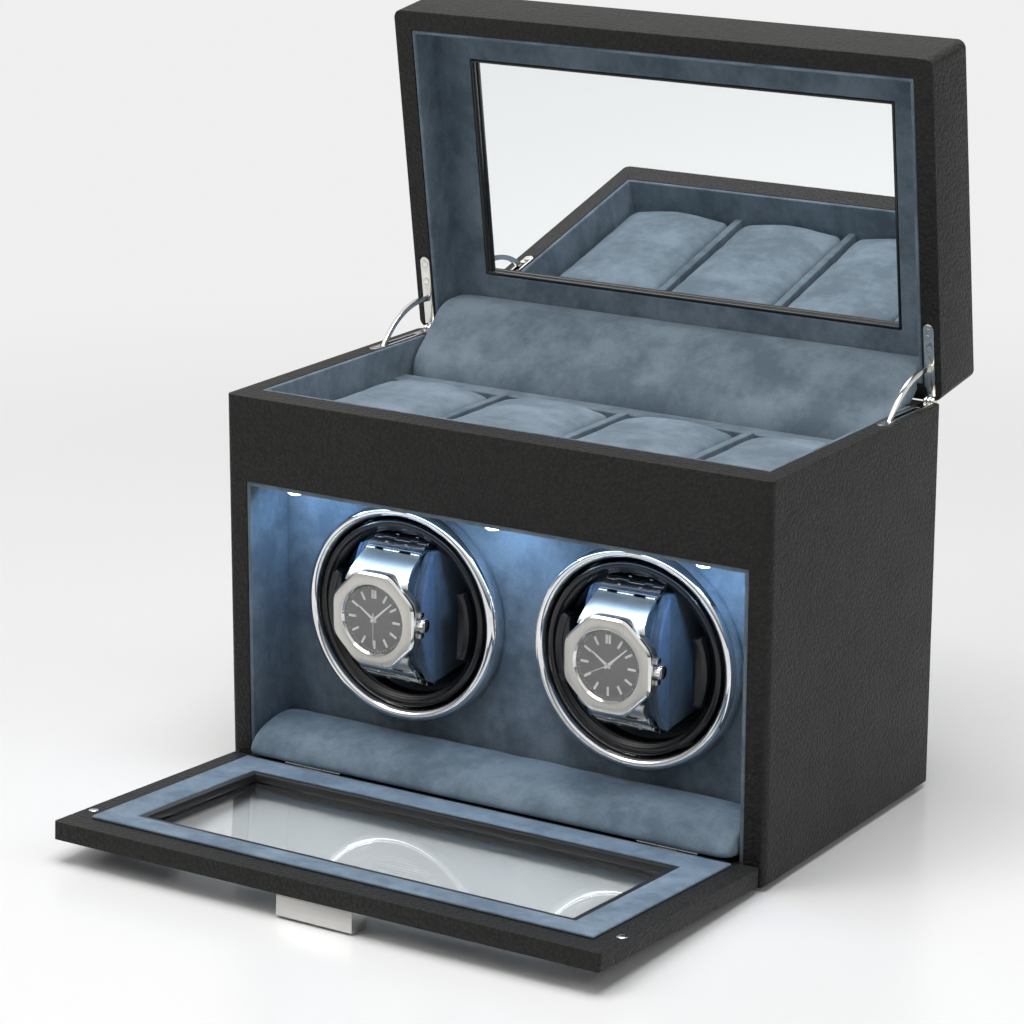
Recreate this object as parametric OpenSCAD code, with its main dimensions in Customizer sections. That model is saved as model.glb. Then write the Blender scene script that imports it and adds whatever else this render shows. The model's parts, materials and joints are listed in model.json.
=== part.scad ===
// Watch winder box for two watches: a wrapped wooden case with a hinged
// mirror lid over a tray of four cushions, and a drop-down window door over
// two motor-driven winder cups.
// Frame: origin on the table under the middle of the case, X to the right,
// Y to the back, Z up. At rest the lid stands open and the door lies open.

/* [Case] */
// Outside width of the case
case_w = 276; // [270:1:320]
// Outside depth of the case
case_d = 156; // [150:1:190]
// Height of the case above its base board
case_h = 176; // [172:1:200]
// Radius of the upright case corners
case_corner_r = 3; // [1:0.5:5]
// Side walls beside the front bay
side_wall = 10.5; // [9:0.5:12]
// Side walls beside the top tray
tray_side_wall = 9; // [8:0.5:10]
// Rail across the front above the bay
front_rail = 14; // [10:1:18]
// Back wall
back_wall = 11; // [8:1:14]
// Bottom board
bottom_board = 8.2; // [7:0.1:10]
// Shelf between the bay and the tray
shelf_thick = 6; // [4:0.5:8]
// Height of the tray well above the shelf
tray_well = 33; // [28:1:38]

/* [Base] */
// How far the base stands in from the case
base_inset = 3; // [1:0.5:6]
// Thickness of the base board
base_board_thick = 2; // [1:0.5:4]
// Thickness of the felt under the base
felt_thick = 1; // [0.5:0.5:2]

/* [Lid] */
// Height of the lid
lid_h = 33; // [30:1:45]
// Radius of the lid corners
lid_corner_r = 4; // [1:0.5:6]
// Thickness of the lid top
lid_top = 9; // [6:0.5:11]
// Suede board that carries the mirror
lid_board = 6; // [5:0.5:8]
// How far the lid stands open
lid_open = 82.1; // [70:0.1:90]
// Leather rim below the mirror on the hinge side
lid_hinge_rim = 9; // [8:0.5:16]
// Leather and suede rim on the other sides
lid_rim = 11; // [11:0.5:14]
// Width of the mirror
mirror_w = 220; // [180:1:226]
// Height of the mirror
mirror_h = 106; // [80:1:110]
// Mirror glass thickness
mirror_thick = 2.4; // [1:0.1:3]
// Suede margin between the mirror and the hinge side
mirror_margin = 15; // [8:1:16]
// Width of the black frame round the mirror
mirror_frame_w = 1.4; // [1:0.1:3]

/* [Door] */
// Length of the door from its hinge to its free edge
door_l = 131; // [130:0.5:132]
// Thickness of the door
door_thick = 8; // [7:0.5:10]
// How far the open door slopes up from level
door_slope = 3.2; // [1:0.1:4]
// How far the door sides stand in from the case sides
door_side_gap = 2; // [0.5:0.5:3]
// Width of the door window
window_w = 220; // [180:1:224]
// Length of the door window
window_l = 85; // [60:1:88]
// Distance from the hinge to the window
window_start = 21.5; // [20:0.5:26]
// Width of the dark window frame
window_frame_w = 3; // [2:0.5:5]
// Glass thickness
glass_thick = 2; // [1.5:0.1:3]
// Thickness of the suede panel on the inside of the door
door_panel_thick = 1.4; // [1:0.1:1.5]
// Length of the suede panel
door_panel_l = 113; // [110:1:114]
// Distance from the hinge to the suede panel
door_panel_start = 5.5; // [5:0.5:8]
// Width of the handle
handle_w = 38; // [24:1:60]
// Depth of the handle along the door
handle_d = 11; // [8:1:16]

/* [Winder] */
// Distance from the middle of the case to each winder axis
winder_x = 60; // [58:0.5:61]
// Height of the winder axes above the table
winder_z = 83.5; // [82:0.5:86]
// Distance from the case front to the suede bay panel
bay_depth = 29; // [28:0.5:34]
// Thickness of the bay panel
bay_panel_thick = 4; // [3:0.5:6]
// Outer radius of the chrome ring
ring_r = 50.8; // [48:0.1:51]
// Width of the chrome ring
ring_w = 7.4; // [5:0.1:7.5]
// Outer radius of the winder cup
cup_r = 43; // [40:0.5:43]
// Depth of the winder cup behind its front edge
cup_depth = 56; // [48:1:58]
// Wall of the winder cup
cup_wall = 3; // [2:0.5:4]
// Thickness of the suede inside the cup
cup_suede = 1.3; // [1:0.1:2]
// Radius of the drive shaft
shaft_r = 4; // [3:0.5:5]
// Running clearance round each shaft
running_gap = 0.05; // [0.02:0.01:0.1]

/* [Drive] */
// Gear module
gear_module = 0.8; // [0.7:0.1:0.9]
// Teeth on the drive gear
gear_teeth = 56; // [48:4:60]
// Teeth on the motor pinion
pinion_teeth = 14; // [14:1:16]
// Gear face width
gear_face = 5; // [4:0.5:8]
// Play between the gear teeth
gear_play = 0.12; // [0.1:0.02:0.2]
// Thickness of the motor plate
plate_thick = 3; // [2:0.5:4]
// Motor radius
motor_r = 12.5; // [10:0.5:16]
// Motor length
motor_l = 34; // [24:1:34]

/* [Pillow and watch] */
// Pillow width
pillow_w = 40; // [28:1:40]
// Pillow depth, front to back
pillow_d = 44; // [38:1:46]
// Pillow height
pillow_h = 60; // [54:1:61]
// Thickness of the watch bracelet
bracelet_thick = 3; // [2:0.5:4]
// Width of the bracelet at the watch
bracelet_w = 24; // [18:1:28]
// Length of one bracelet link along the bracelet
link_l = 5.4; // [4:0.2:8]
// Watch width across the bezel
watch_w = 40; // [34:0.5:42]
// Watch case thickness
watch_thick = 8; // [6:0.5:9]
// Dial radius
dial_r = 15.4; // [12:0.2:16]
// How far the pillow reaches out of the cup
pillow_reach = 14.5; // [10:0.5:15]
// How far the watch sits above the winder axis
watch_rise = 3; // [0:0.5:4]

/* [Tray] */
// Number of storage cushions
cushion_count = 4; // [4:1:4]
// Thickness of the dividers between the cushions
divider_thick = 4; // [2:0.5:6]
// Depth of the divider tops below the case top
divider_drop = 14.5; // [12:0.5:18]
// Length of the cushion bays, front to back
cushion_bay_l = 100; // [88:1:104]
// Width of the suede ledge behind the cushions
ledge_w = 11; // [8:1:14]
// Thickness of the suede tray lining
tray_suede = 2; // [1.5:0.5:3]
// Height of a cushion at its crown
cushion_h = 21; // [18:0.5:24]

/* [Hinges] */
// Width of the lid hinge leaves
leaf_w = 5; // [4:0.5:6]
// Thickness of the hinge leaves
leaf_thick = 1; // [0.8:0.1:1.5]
// Length of the lid leaf
leaf_l = 36; // [30:1:44]
// Length of the slotted case leaf
case_leaf_l = 50; // [46:1:60]
// Knuckle radius of all hinges
knuckle_r = 2; // [1.6:0.1:2.4]
// Pin radius of all hinges
pin_r = 0.9; // [0.7:0.1:1]
// Thickness of the stay arm
arm_thick = 1.6; // [1:0.1:2]
// Length of each door hinge
door_hinge_l = 30; // [20:1:40]
// Distance from the middle to each door hinge
door_hinge_x = 92; // [60:1:100]

/* [Controls] */
// Radius of the mode knob
knob_r = 8; // [6:0.5:10]
// Width of the power switch rocker
rocker_w = 12; // [10:0.5:14]
// Height of the power switch rocker
rocker_h = 17; // [14:0.5:19]

/* [Hidden] */

$fn = 64;
eps = 0.01;
// Seam between boards that are glued or wrapped against each other
seam = 0.1;
// Gap between pieces that move past each other
gap = 0.3;

// Case planes
base_h = felt_thick + base_board_thick;
case_top = base_h + case_h;
front_y = -case_d / 2;
back_y = case_d / 2;
bay_half = case_w / 2 - side_wall;
tray_half = case_w / 2 - tray_side_wall;
bay_floor_z = base_h + bottom_board;
shelf_top = case_top - tray_well;
shelf_z = shelf_top - shelf_thick;
room_back = back_y - back_wall;
rail_back = front_y + front_rail;
bay_panel_y = front_y + bay_depth;
panel_seat = bay_half - seam;

// Lining thickness inside the bay
bay_suede = 1.8;
floor_pad_h = 14.8;
floor_pad_nose_r = 12;

// Lid pivot line and local lid frame: s runs from the pivot to the free
// edge, t runs from the rim plane into the lid
lid_pivot_y = back_y + gap;
lid_pivot_z = case_top + gap / 2;
lid_rim_t = gap / 2;
lid_s0 = gap;
lid_s1 = gap + case_d;
lid_t1 = lid_rim_t + lid_h;
lid_cavity_half = tray_half;
lid_suede = 2;
lid_board_t1 = lid_t1 - lid_top;
lid_ceiling_t = lid_board_t1 - lid_board;
mirror_s0 = lid_hinge_rim + mirror_margin;

// Door pivot line and local door frame: s runs from the pivot to the free
// edge, t runs from the inner face to the outer face
door_pivot_y = front_y - gap;
door_pivot_z = bay_floor_z;
door_w = case_w - 2 * door_side_gap;
door_panel_w = 2 * (bay_half - bay_suede) - 2 * gap;
window_s1 = window_start + window_l;
glass_t = (door_thick - glass_thick) / 2;
glass_groove = 1;
// The handle reaches down to the table when the door lies open
handle_back_s = door_l - handle_d;
handle_h = (door_pivot_z + handle_back_s * sin(door_slope)) / cos(door_slope) - door_thick - 0.05;

// Winder planes along Y
ring_nose_r = ring_w / 2;
ring_depth = 7.6;
ring_back_y = bay_panel_y - 0.6;
ring_front_y = ring_back_y - ring_depth;
cup_front_y = ring_back_y - 4.4;
cup_back_y = cup_front_y + cup_depth;
cup_inner_r = cup_r - cup_wall;
lining_inner_r = cup_inner_r - cup_suede - 0.1;
cup_lip_r = lining_inner_r - 0.6;
panel_hole_r = cup_r + 1.6;
gear_y = cup_back_y + 4;
plate_y = gear_y + gear_face + 4;
bush_r = shaft_r + running_gap + 2.5;
pinion_shaft_r = 1.5;
motor_boss_r = 3.8;
cup_boss_r = 5;
gear_center = gear_module * (gear_teeth + pinion_teeth) / 2 + gear_play;

// Back cover, its vents and its controls
cover_thick = 3;
back_cover_y = back_y - cover_thick;
cover_half = 112;
cover_low = 22;
cover_high = 132;
cover_border = 7;
cover_hole_half = cover_half - cover_border;
cover_hole_low = cover_low + cover_border;
cover_hole_high = cover_high - cover_border;
cover_screw_inset = 3.5;
cover_screw_x = [-(cover_half - cover_screw_inset), 0, cover_half - cover_screw_inset];
cover_screw_z = [cover_low + cover_screw_inset, cover_high - cover_screw_inset];
vent_slots = 6;
vent_pitch = 7;
vent_half = 20;
vent_r = 1.3;
control_z = 40;
socket_x = 90;
socket_r = 5.5;
switch_x = 66;
rocker_tilt = -5;
knob_x = 38;
knob_shaft_r = 3;
// Control board on the back cover, between the two motors
board_y = back_cover_y - 12;
board_thick = 1.6;
board_half = winder_x - motor_r - 2.5;
board_low = 30;
board_high = 58;
board_post_inset = 3;
board_post_r = 2;

// Lamps in the bay's ceiling
led_half = 112;
led_y = front_y + 5;
led_bar_half = 3;
led_x = [-104, 0, 104];
led_lens_r = 4;
led_lens_drop = 3;
led_stem_r = led_bar_half - gap;

// Pillow and watch planes
pillow_r = pillow_d / 2;
pillow_y = cup_front_y + pillow_r - pillow_reach;
pillow_front_y = pillow_y - pillow_r;
strap_inner_r = pillow_r + gap;
strap_outer_r = strap_inner_r + bracelet_thick;
watch_back_y = pillow_y - strap_outer_r + 2;
watch_recess = 1.6;
shoulder_w = bracelet_w + 6;
mark_w = 0.8;
hour_turn = 304;
minute_turn = 48;

// Spring cradle that holds the pillow in the cup
cradle_thick = 3.4;
ear_half_h = 15;
ear_l = 30;
arm_half_h = 5;
arm_d = 7;

// Tray planes
tray_front_y = rail_back + seam + tray_suede;
tray_inner_half = tray_half - seam - tray_suede;
tray_floor_z = shelf_top + seam + 1.5;
cushion_bay_back = tray_front_y + cushion_bay_l;
ledge_back = cushion_bay_back + ledge_w;
divider_top = case_top - divider_drop;
cushion_pitch = (2 * tray_inner_half + divider_thick) / cushion_count;
cushion_w = cushion_pitch - divider_thick - 2 * gap;
cushion_l = cushion_bay_l - 2 * gap;

// Lid hinges and their stay arms
leaf_x = case_w / 2 - 5.7;
leaf_front = lid_pivot_y - case_leaf_l;
case_screw_y = leaf_front + 2.6;
lid_screw_s = [leaf_l - 3.4, leaf_l - 12];
leaf_screw_r = 1.5;
knuckle_mid = 1.1;
arm_start_s = 15;
arm_end_y = back_y - 40;
arm_width = 2.4;
arm_bulge = 6;
pocket_half = arm_thick / 2 + 0.35;
pocket_depth = 43;

// Door hinges, magnet pins and their keepers
door_leaf_l = 10;
pin_s = 108;
pin_edge = 5.5;
pin_x = case_w / 2 - pin_edge;
magnet_pin_r = 2.5;
keeper_r = 2.8;
keeper_l = 4;
// The keepers lie just under the leather of the case front
keeper_y = front_y + 1;

// ---------- shared shapes ----------

// Upright slab with round corners, centred on X and Y
module rounded_slab(w, d, h, r) {
    linear_extrude(h) rounded_outline(w, d, r);
}

module rounded_outline(w, d, r) {
    square([w - 2 * r, d], center = true);
    square([w, d - 2 * r], center = true);
    for (x = [-1, 1], y = [-1, 1])
        translate([x * (w / 2 - r), y * (d / 2 - r)]) circle(r);
}

// Box between two corners
module box(low, high) {
    translate(low) cube(high - low);
}

// Cylinder along Y from y0 to y1
module rod_y(r, y0, y1) {
    translate([0, y1, 0]) rotate([90, 0, 0]) cylinder(r = r, h = y1 - y0);
}

// Cylinder along X from x0 to x1
module rod_x(r, x0, x1) {
    translate([x0, 0, 0]) rotate([0, 90, 0]) cylinder(r = r, h = x1 - x0);
}

// Profile in the YZ plane, given as [y, z], extruded along X
module extrude_x(x0, x1) {
    translate([x0, 0, 0]) rotate([90, 0, 90]) linear_extrude(x1 - x0) children();
}

// Places a piece given in the lid's closed frame (s forward, t up)
module lid_place() {
    translate([0, lid_pivot_y, lid_pivot_z]) rotate([-lid_open, 0, 0]) children();
}

// Places a piece given in the door's level frame
module door_place() {
    translate([0, door_pivot_y, door_pivot_z]) rotate([-door_slope, 0, 0]) children();
}

// Slab in a panel frame: s from s0 to s1, t from t0 to t1, t upwards
module lid_slab(half_w, s0, s1, t0, t1) {
    box([-half_w, -s1, t0], [half_w, -s0, t1]);
}

// The same for the door, where t points down
module door_slab(half_w, s0, s1, t0, t1) {
    box([-half_w, -s1, -t1], [half_w, -s0, -t0]);
}

module at_winder(side) {
    translate([side * winder_x, 0, winder_z]) children();
}

module slotted_screw(head_r, head_h, shank_r, shank_l) {
    difference() {
        cylinder(r1 = head_r, r2 = head_r * 0.8, h = head_h);
        box([-head_r, -0.25, head_h * 0.5], [head_r, 0.25, head_h + eps]);
    }
    translate([0, 0, -shank_l]) cylinder(r = shank_r, h = shank_l + eps);
}

// ---------- case ----------

module case_shell() color("#2b2826") {
    difference() {
        translate([0, 0, base_h]) rounded_slab(case_w, case_d, case_h, case_corner_r);
        // Bay and the mechanism room behind it, up to the shelf's top
        box([-bay_half, front_y - 1, bay_floor_z], [bay_half, rail_back, shelf_z]);
        box([-bay_half, rail_back - eps, bay_floor_z], [bay_half, room_back, shelf_top]);
        // Tray well
        box([-tray_half, rail_back, shelf_top - eps], [tray_half, room_back, case_top + 1]);
        back_cover_cutout();
        for (side = [-1, 1]) {
            lid_hinge_cutout(side);
            magnet_hole(side);
            door_hinge_cutout(side);
        }
        led_groove();
    }
}

module back_cover_cutout() {
    box([-cover_hole_half, room_back - 1, cover_hole_low], [cover_hole_half, back_y + 1, cover_hole_high]);
    box([-cover_half - seam, back_cover_y - seam, cover_low - seam],
        [cover_half + seam, back_y + 1, cover_high + seam]);
    for (x = cover_screw_x, z = cover_screw_z)
        translate([x, 0, z]) rod_y(1.3, back_cover_y - 7, back_cover_y);
}

module lid_hinge_cutout(side) {
    x0 = side * leaf_x - leaf_w / 2;
    x1 = side * leaf_x + leaf_w / 2;
    box([x0 - seam, leaf_front - seam, case_top - leaf_thick - seam], [x1 + seam, back_y + 1, case_top + 1]);
    translate([0, lid_pivot_y, lid_pivot_z]) rod_x(knuckle_r + gap, x0 - seam, x1 + seam);
    // Pocket that the stay arm swings down into
    box([side * leaf_x - pocket_half, arm_end_y - 2, case_top - pocket_depth],
        [side * leaf_x + pocket_half, back_y - 1.6, case_top - leaf_thick]);
}

module magnet_hole(side) {
    translate([side * pin_x, 0, door_pivot_z + pin_s])
        rod_y(keeper_r + seam, keeper_y - seam, keeper_y + keeper_l + seam);
}

module door_hinge_cutout(side) {
    x0 = side * door_hinge_x - door_hinge_l / 2;
    x1 = x0 + door_hinge_l;
    box([x0 - seam, front_y - 1, bay_floor_z - leaf_thick - seam],
        [x1 + seam, front_y + door_leaf_l + seam, bay_floor_z + eps]);
    translate([0, door_pivot_y, door_pivot_z]) rod_x(knuckle_r + gap, x0 - seam, x1 + seam);
}

module led_groove() {
    box([-led_half - seam, led_y - led_bar_half - seam, shelf_z - eps],
        [led_half + seam, led_y + led_bar_half + seam, shelf_z + 2.2]);
}
module shelf() color("#4a3b2c") {
    box([-panel_seat, rail_back + seam, shelf_z], [panel_seat, room_back - seam, shelf_top]);
}

module base_board() color("#151413") {
    translate([0, 0, felt_thick])
        rounded_slab(case_w - 2 * base_inset, case_d - 2 * base_inset, base_board_thick, case_corner_r);
}

module base_felt() color("#1b1b1d") {
    felt_inset = base_inset + 1;
    rounded_slab(case_w - 2 * felt_inset, case_d - 2 * felt_inset, felt_thick, case_corner_r);
}

module back_cover() color("#1d1d1f") {
    difference() {
        box([-cover_half, back_cover_y, cover_low], [cover_half, back_y, cover_high]);
        for (x = cover_screw_x, z = cover_screw_z)
            translate([x, 0, z]) rod_y(1.6, back_cover_y - 1, back_y + 1);
        for (side = [-1, 1], k = [0 : vent_slots - 1])
            translate([side * winder_x, 0, winder_z + (k - (vent_slots - 1) / 2) * vent_pitch])
                vent_slot();
        translate([socket_x, 0, control_z]) rod_y(socket_r + seam, back_cover_y - 1, back_y + 1);
        box([switch_x - rocker_w / 2 - 1, back_cover_y - 1, control_z - rocker_h / 2 - 1],
            [switch_x + rocker_w / 2 + 1, back_y + 1, control_z + rocker_h / 2 + 1]);
        translate([knob_x, 0, control_z]) rod_y(knob_shaft_r + running_gap, back_cover_y - 1, back_y + 1);
    }
}

module vent_slot() {
    box([-vent_half, back_cover_y - 1, -vent_r], [vent_half, back_y + 1, vent_r]);
    for (x = [-vent_half, vent_half]) translate([x, 0, 0]) rod_y(vent_r, back_cover_y - 1, back_y + 1);
}

module back_cover_screws() color("#8d9094") {
    for (x = cover_screw_x, z = cover_screw_z)
        translate([x, back_y, z]) rotate([-90, 0, 0]) slotted_screw(2.6, 1.4, 1.2, 9);
}

module bay_lining() color("#4d6685") {
    y0 = front_y + 0.4;
    y1 = bay_panel_y - seam;
    inner = bay_half - bay_suede;
    for (side = [-1, 1])
        box([min(side * inner, side * panel_seat), y0, bay_floor_z + seam],
            [max(side * inner, side * panel_seat), y1, shelf_z - seam]);
    difference() {
        box([-inner + seam, y0, shelf_z - bay_suede], [inner - seam, y1, shelf_z - seam]);
        for (x = led_x) translate([x, led_y, shelf_z - bay_suede - 1]) cylinder(r = led_lens_r + gap, h = bay_suede + 2);
    }
}

module bay_panel() color("#4d6685") {
    difference() {
        box([-panel_seat, bay_panel_y, bay_floor_z + seam],
            [panel_seat, bay_panel_y + bay_panel_thick, shelf_z - seam]);
        for (side = [-1, 1]) at_winder(side)
            rod_y(panel_hole_r, bay_panel_y - 1, bay_panel_y + bay_panel_thick + 1);
    }
}

module bay_floor_pad() color("#4d6685") {
    half = bay_half - bay_suede - seam;
    y0 = front_y + 2;
    y1 = bay_panel_y - seam;
    z0 = bay_floor_z + seam;
    z1 = bay_floor_z + floor_pad_h;
    extrude_x(-half, half) intersection() {
        translate([y0, z0]) square([y1 - y0, z1 - z0]);
        union() {
            translate([y0, z0]) square([y1 - y0, z1 - z0 - floor_pad_nose_r]);
            translate([y0 + floor_pad_nose_r, z0]) square([y1 - y0 - floor_pad_nose_r, z1 - z0]);
            translate([y0 + floor_pad_nose_r, z1 - floor_pad_nose_r]) circle(floor_pad_nose_r);
        }
    }
}

module led_strip() color("#f4f8ff") {
    box([-led_half, led_y - led_bar_half, shelf_z + 0.6], [led_half, led_y + led_bar_half, shelf_z + 2]);
    for (x = led_x) translate([x, led_y, shelf_z - bay_suede - led_lens_drop]) {
        cylinder(r = led_lens_r, h = bay_suede + led_lens_drop - seam);
        cylinder(r = led_stem_r, h = bay_suede + led_lens_drop + 0.7);
    }
}

module tray_lining() color("#4d6685") {
    outer = tray_half - seam;
    difference() {
        box([-outer, rail_back + seam, shelf_top + seam], [outer, room_back - seam, case_top]);
        box([-tray_inner_half, tray_front_y, tray_floor_z], [tray_inner_half, room_back, case_top + 1]);
    }
}

module tray_grid() color("#54708f") {
    z0 = tray_floor_z + seam;
    box([-tray_inner_half + seam, cushion_bay_back, z0],
        [tray_inner_half - seam, ledge_back - seam, divider_top - 1]);
    for (k = [1 : cushion_count - 1])
        translate([-tray_inner_half - divider_thick / 2 + k * cushion_pitch, 0, 0])
            box([-divider_thick / 2, tray_front_y + seam, z0],
                [divider_thick / 2, cushion_bay_back + eps, divider_top]);
}

module rear_flap_pad() color("#4d6685") {
    half = tray_inner_half - gap;
    y0 = ledge_back + seam;
    y1 = room_back - seam;
    z0 = tray_floor_z + seam;
    bulge_back = room_back - 3;
    bulge_r = (bulge_back - y0) / 2;
    extrude_x(-half, half) {
        translate([y0, z0]) square([y1 - y0, case_top - 1 - z0]);
        translate([y0, z0]) square([bulge_back - y0, case_top + 4 - z0]);
        translate([y0 + bulge_r, case_top + 4]) circle(bulge_r);
    }
}

// ---------- drive ----------

module motor_plate() color("#9a9da1") {
    difference() {
        box([-panel_seat, plate_y, bay_floor_z + seam], [panel_seat, plate_y + plate_thick, shelf_z - seam]);
        for (side = [-1, 1]) at_winder(side) {
            rod_y(bush_r, plate_y - 1, plate_y + plate_thick + 1);
            translate([0, 0, -gear_center]) rod_y(motor_boss_r + 0.2, plate_y - 1, plate_y + plate_thick + 1);
        }
    }
}

module bearing_bushes() color("#b08d57") {
    for (side = [-1, 1]) at_winder(side) difference() {
        union() {
            rod_y(bush_r, plate_y - 1.5, plate_y + plate_thick + 3);
            rod_y(bush_r + 2, plate_y + plate_thick, plate_y + plate_thick + 1.5);
        }
        rod_y(shaft_r + running_gap, plate_y - 5, plate_y + plate_thick + 5);
    }
}

module gear_motors() color("#7c7f84") {
    for (side = [-1, 1]) at_winder(side) translate([0, plate_y + plate_thick, -gear_center]) {
        difference() {
            union() {
                rod_y(motor_r, 0, motor_l);
                rod_y(motor_boss_r, -plate_thick + 0.2, eps);
            }
            rod_y(pinion_shaft_r + running_gap, -plate_thick, 12);
        }
        rod_y(3, motor_l - eps, motor_l + 1.5);
    }
}

// Involute flank: polar angle of the flank at radius r for base radius rb
function involute_angle(r, rb) = let (a = acos(min(1, rb / r))) tan(a) * 180 / PI - a;

// Outline of a spur gear as points: three per flank, thinned by the play
function gear_points(teeth, m, play) =
    let (pitch_r = m * teeth / 2,
         base_r = pitch_r * cos(20),
         root_r = pitch_r - 1.2 * m,
         tip_r = pitch_r + 0.9 * m,
         half_tooth = 90 / teeth - play / pitch_r * 90 / PI + involute_angle(pitch_r, base_r),
         mid_r = (max(root_r, base_r) + tip_r) / 2,
         flank = [root_r, max(root_r + 0.2, base_r + 0.05), mid_r, tip_r])
    [for (k = [0 : teeth - 1])
        each [for (side = [-1, 1])
            each [for (j = [0 : 3])
                let (r = side < 0 ? flank[j] : flank[3 - j],
                     a = k * 360 / teeth + side * (half_tooth - involute_angle(max(r, base_r), base_r)))
                [r * cos(a), r * sin(a)]]]];

module spur_gear(teeth, turn) {
    rotate([90, 0, 0]) rotate([0, 0, turn]) linear_extrude(gear_face)
        polygon(gear_points(teeth, gear_module, gear_play));
}

module drive_gear(side) color("#c9c4b4") at_winder(side) {
    difference() {
        union() {
            translate([0, gear_y + gear_face, 0]) spur_gear(gear_teeth, 90);
            rod_y(8, cup_back_y + 0.2, gear_y + eps);
        }
        for (k = [0 : 5]) rotate([0, k * 60, 0]) translate([13.5, 0, 0]) rod_y(4, gear_y - 1, gear_y + gear_face + 1);
        rod_y(cup_boss_r + 0.2, cup_back_y, cup_back_y + 1.8);
    }
    rod_y(shaft_r, gear_y + gear_face - eps, plate_y + plate_thick + 7);
}

module motor_pinion(side) color("#d8d2c0") at_winder(side) translate([0, 0, -gear_center]) {
    translate([0, gear_y + gear_face, 0]) spur_gear(pinion_teeth, 90 + 180 / pinion_teeth);
    rod_y(3.4, gear_y + gear_face - eps, gear_y + gear_face + 2);
    rod_y(pinion_shaft_r, gear_y + gear_face, plate_y + plate_thick + 10);
}

module control_board() color("#1f5c3a") {
    box([-board_half, board_y, board_low], [board_half, board_y + board_thick, board_high]);
    for (side = [-1, 1], z = [board_low + board_post_inset, board_high - board_post_inset])
        translate([side * (board_half - board_post_inset), 0, z])
            rod_y(board_post_r, board_y + board_thick - eps, back_cover_y - 0.05);
    translate([-board_half / 2, board_y, board_low]) {
        box([-10, -2, 4], [0, eps, 14]);
        box([16, -3, 14], [28, eps, 24]);
        translate([54, 0, 22]) rod_y(3, -8, eps);
    }
}

module dc_socket() color("#101012") {
    translate([socket_x, 0, control_z]) difference() {
        union() {
            rod_y(socket_r, back_cover_y - 9, back_y + 0.5);
            rod_y(socket_r + 2, back_y + 0.05, back_y + 1.6);
        }
        difference() {
            rod_y(3.2, back_y - 8, back_y + 3);
            rod_y(1, back_y - 9, back_y);
        }
    }
}

module keeper_magnets() color("#b9bcc0") {
    for (side = [-1, 1]) translate([side * pin_x, 0, door_pivot_z + pin_s])
        rod_y(keeper_r, keeper_y, keeper_y + keeper_l);
}

// ---------- lid hinges ----------

module hinge_case_leaf(side) color("#c8cacc") {
    x0 = side * leaf_x - leaf_w / 2;
    slot = arm_thick / 2 + 0.3;
    difference() {
        union() {
            translate([side * leaf_x, leaf_front + leaf_w / 2, case_top - leaf_thick]) cylinder(d = leaf_w, h = leaf_thick);
            box([x0, leaf_front + leaf_w / 2, case_top - leaf_thick], [x0 + leaf_w, lid_pivot_y, case_top]);
            translate([0, lid_pivot_y, lid_pivot_z]) rod_x(knuckle_r, x0, x0 + leaf_w);
        }
        box([side * leaf_x - slot, arm_end_y - 2, case_top - 3], [side * leaf_x + slot, back_y - 12, case_top + 1]);
        translate([0, lid_pivot_y, lid_pivot_z])
            rod_x(knuckle_r + gap, side * leaf_x - knuckle_mid, side * leaf_x + knuckle_mid);
        translate([side * leaf_x, case_screw_y, case_top - 0.4]) cylinder(r = leaf_screw_r + seam, h = 1);
    }
    // Pressed-in pin
    translate([0, lid_pivot_y, lid_pivot_z]) rod_x(pin_r, x0, x0 + leaf_w);
    // Screw
    translate([side * leaf_x, case_screw_y, case_top - 0.4 - eps]) cylinder(r = leaf_screw_r, h = 0.5);
}

module hinge_lid_leaf(side) color("#c8cacc") lid_place() {
    x = side * leaf_x;
    t0 = lid_rim_t;
    difference() {
        union() {
            box([x - leaf_w / 2, -(leaf_l - leaf_w / 2), t0], [x + leaf_w / 2, -(knuckle_r + gap), t0 + leaf_thick]);
            translate([x, -(leaf_l - leaf_w / 2), t0]) cylinder(d = leaf_w, h = leaf_thick);
            box([x - knuckle_mid + gap, -(knuckle_r + 1), 0], [x + knuckle_mid - gap, 0, leaf_thick]);
            rod_x(knuckle_r, x - knuckle_mid + gap, x + knuckle_mid - gap);
        }
        rod_x(pin_r + running_gap, x - leaf_w, x + leaf_w);
        for (s = lid_screw_s) translate([x, -s, t0 - 1]) cylinder(r = leaf_screw_r + seam, h = 1.4);
    }
    for (s = lid_screw_s) translate([x, -s, t0 - 0.1]) cylinder(r = leaf_screw_r, h = 0.6);
    stay_arm(x);
}

// Curved stay arm in the lid's closed frame: an arc from the leaf to its tip
module stay_arm(x) {
    arc = stay_arc();
    centre = arc[0];
    radius = arc[1];
    translate([x - arm_thick / 2, 0, 0]) rotate([90, 0, 90]) linear_extrude(arm_thick)
        intersection() {
            translate(centre) difference() {
                circle(radius + arm_width / 2, $fn = 128);
                circle(radius - arm_width / 2, $fn = 128);
            }
            polygon([centre, for (k = [0 : 4])
                let (a = arc[2] + (arc[3] - arc[2]) * k / 4) centre + 2 * radius * [cos(a), sin(a)]]);
        }
}

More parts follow.
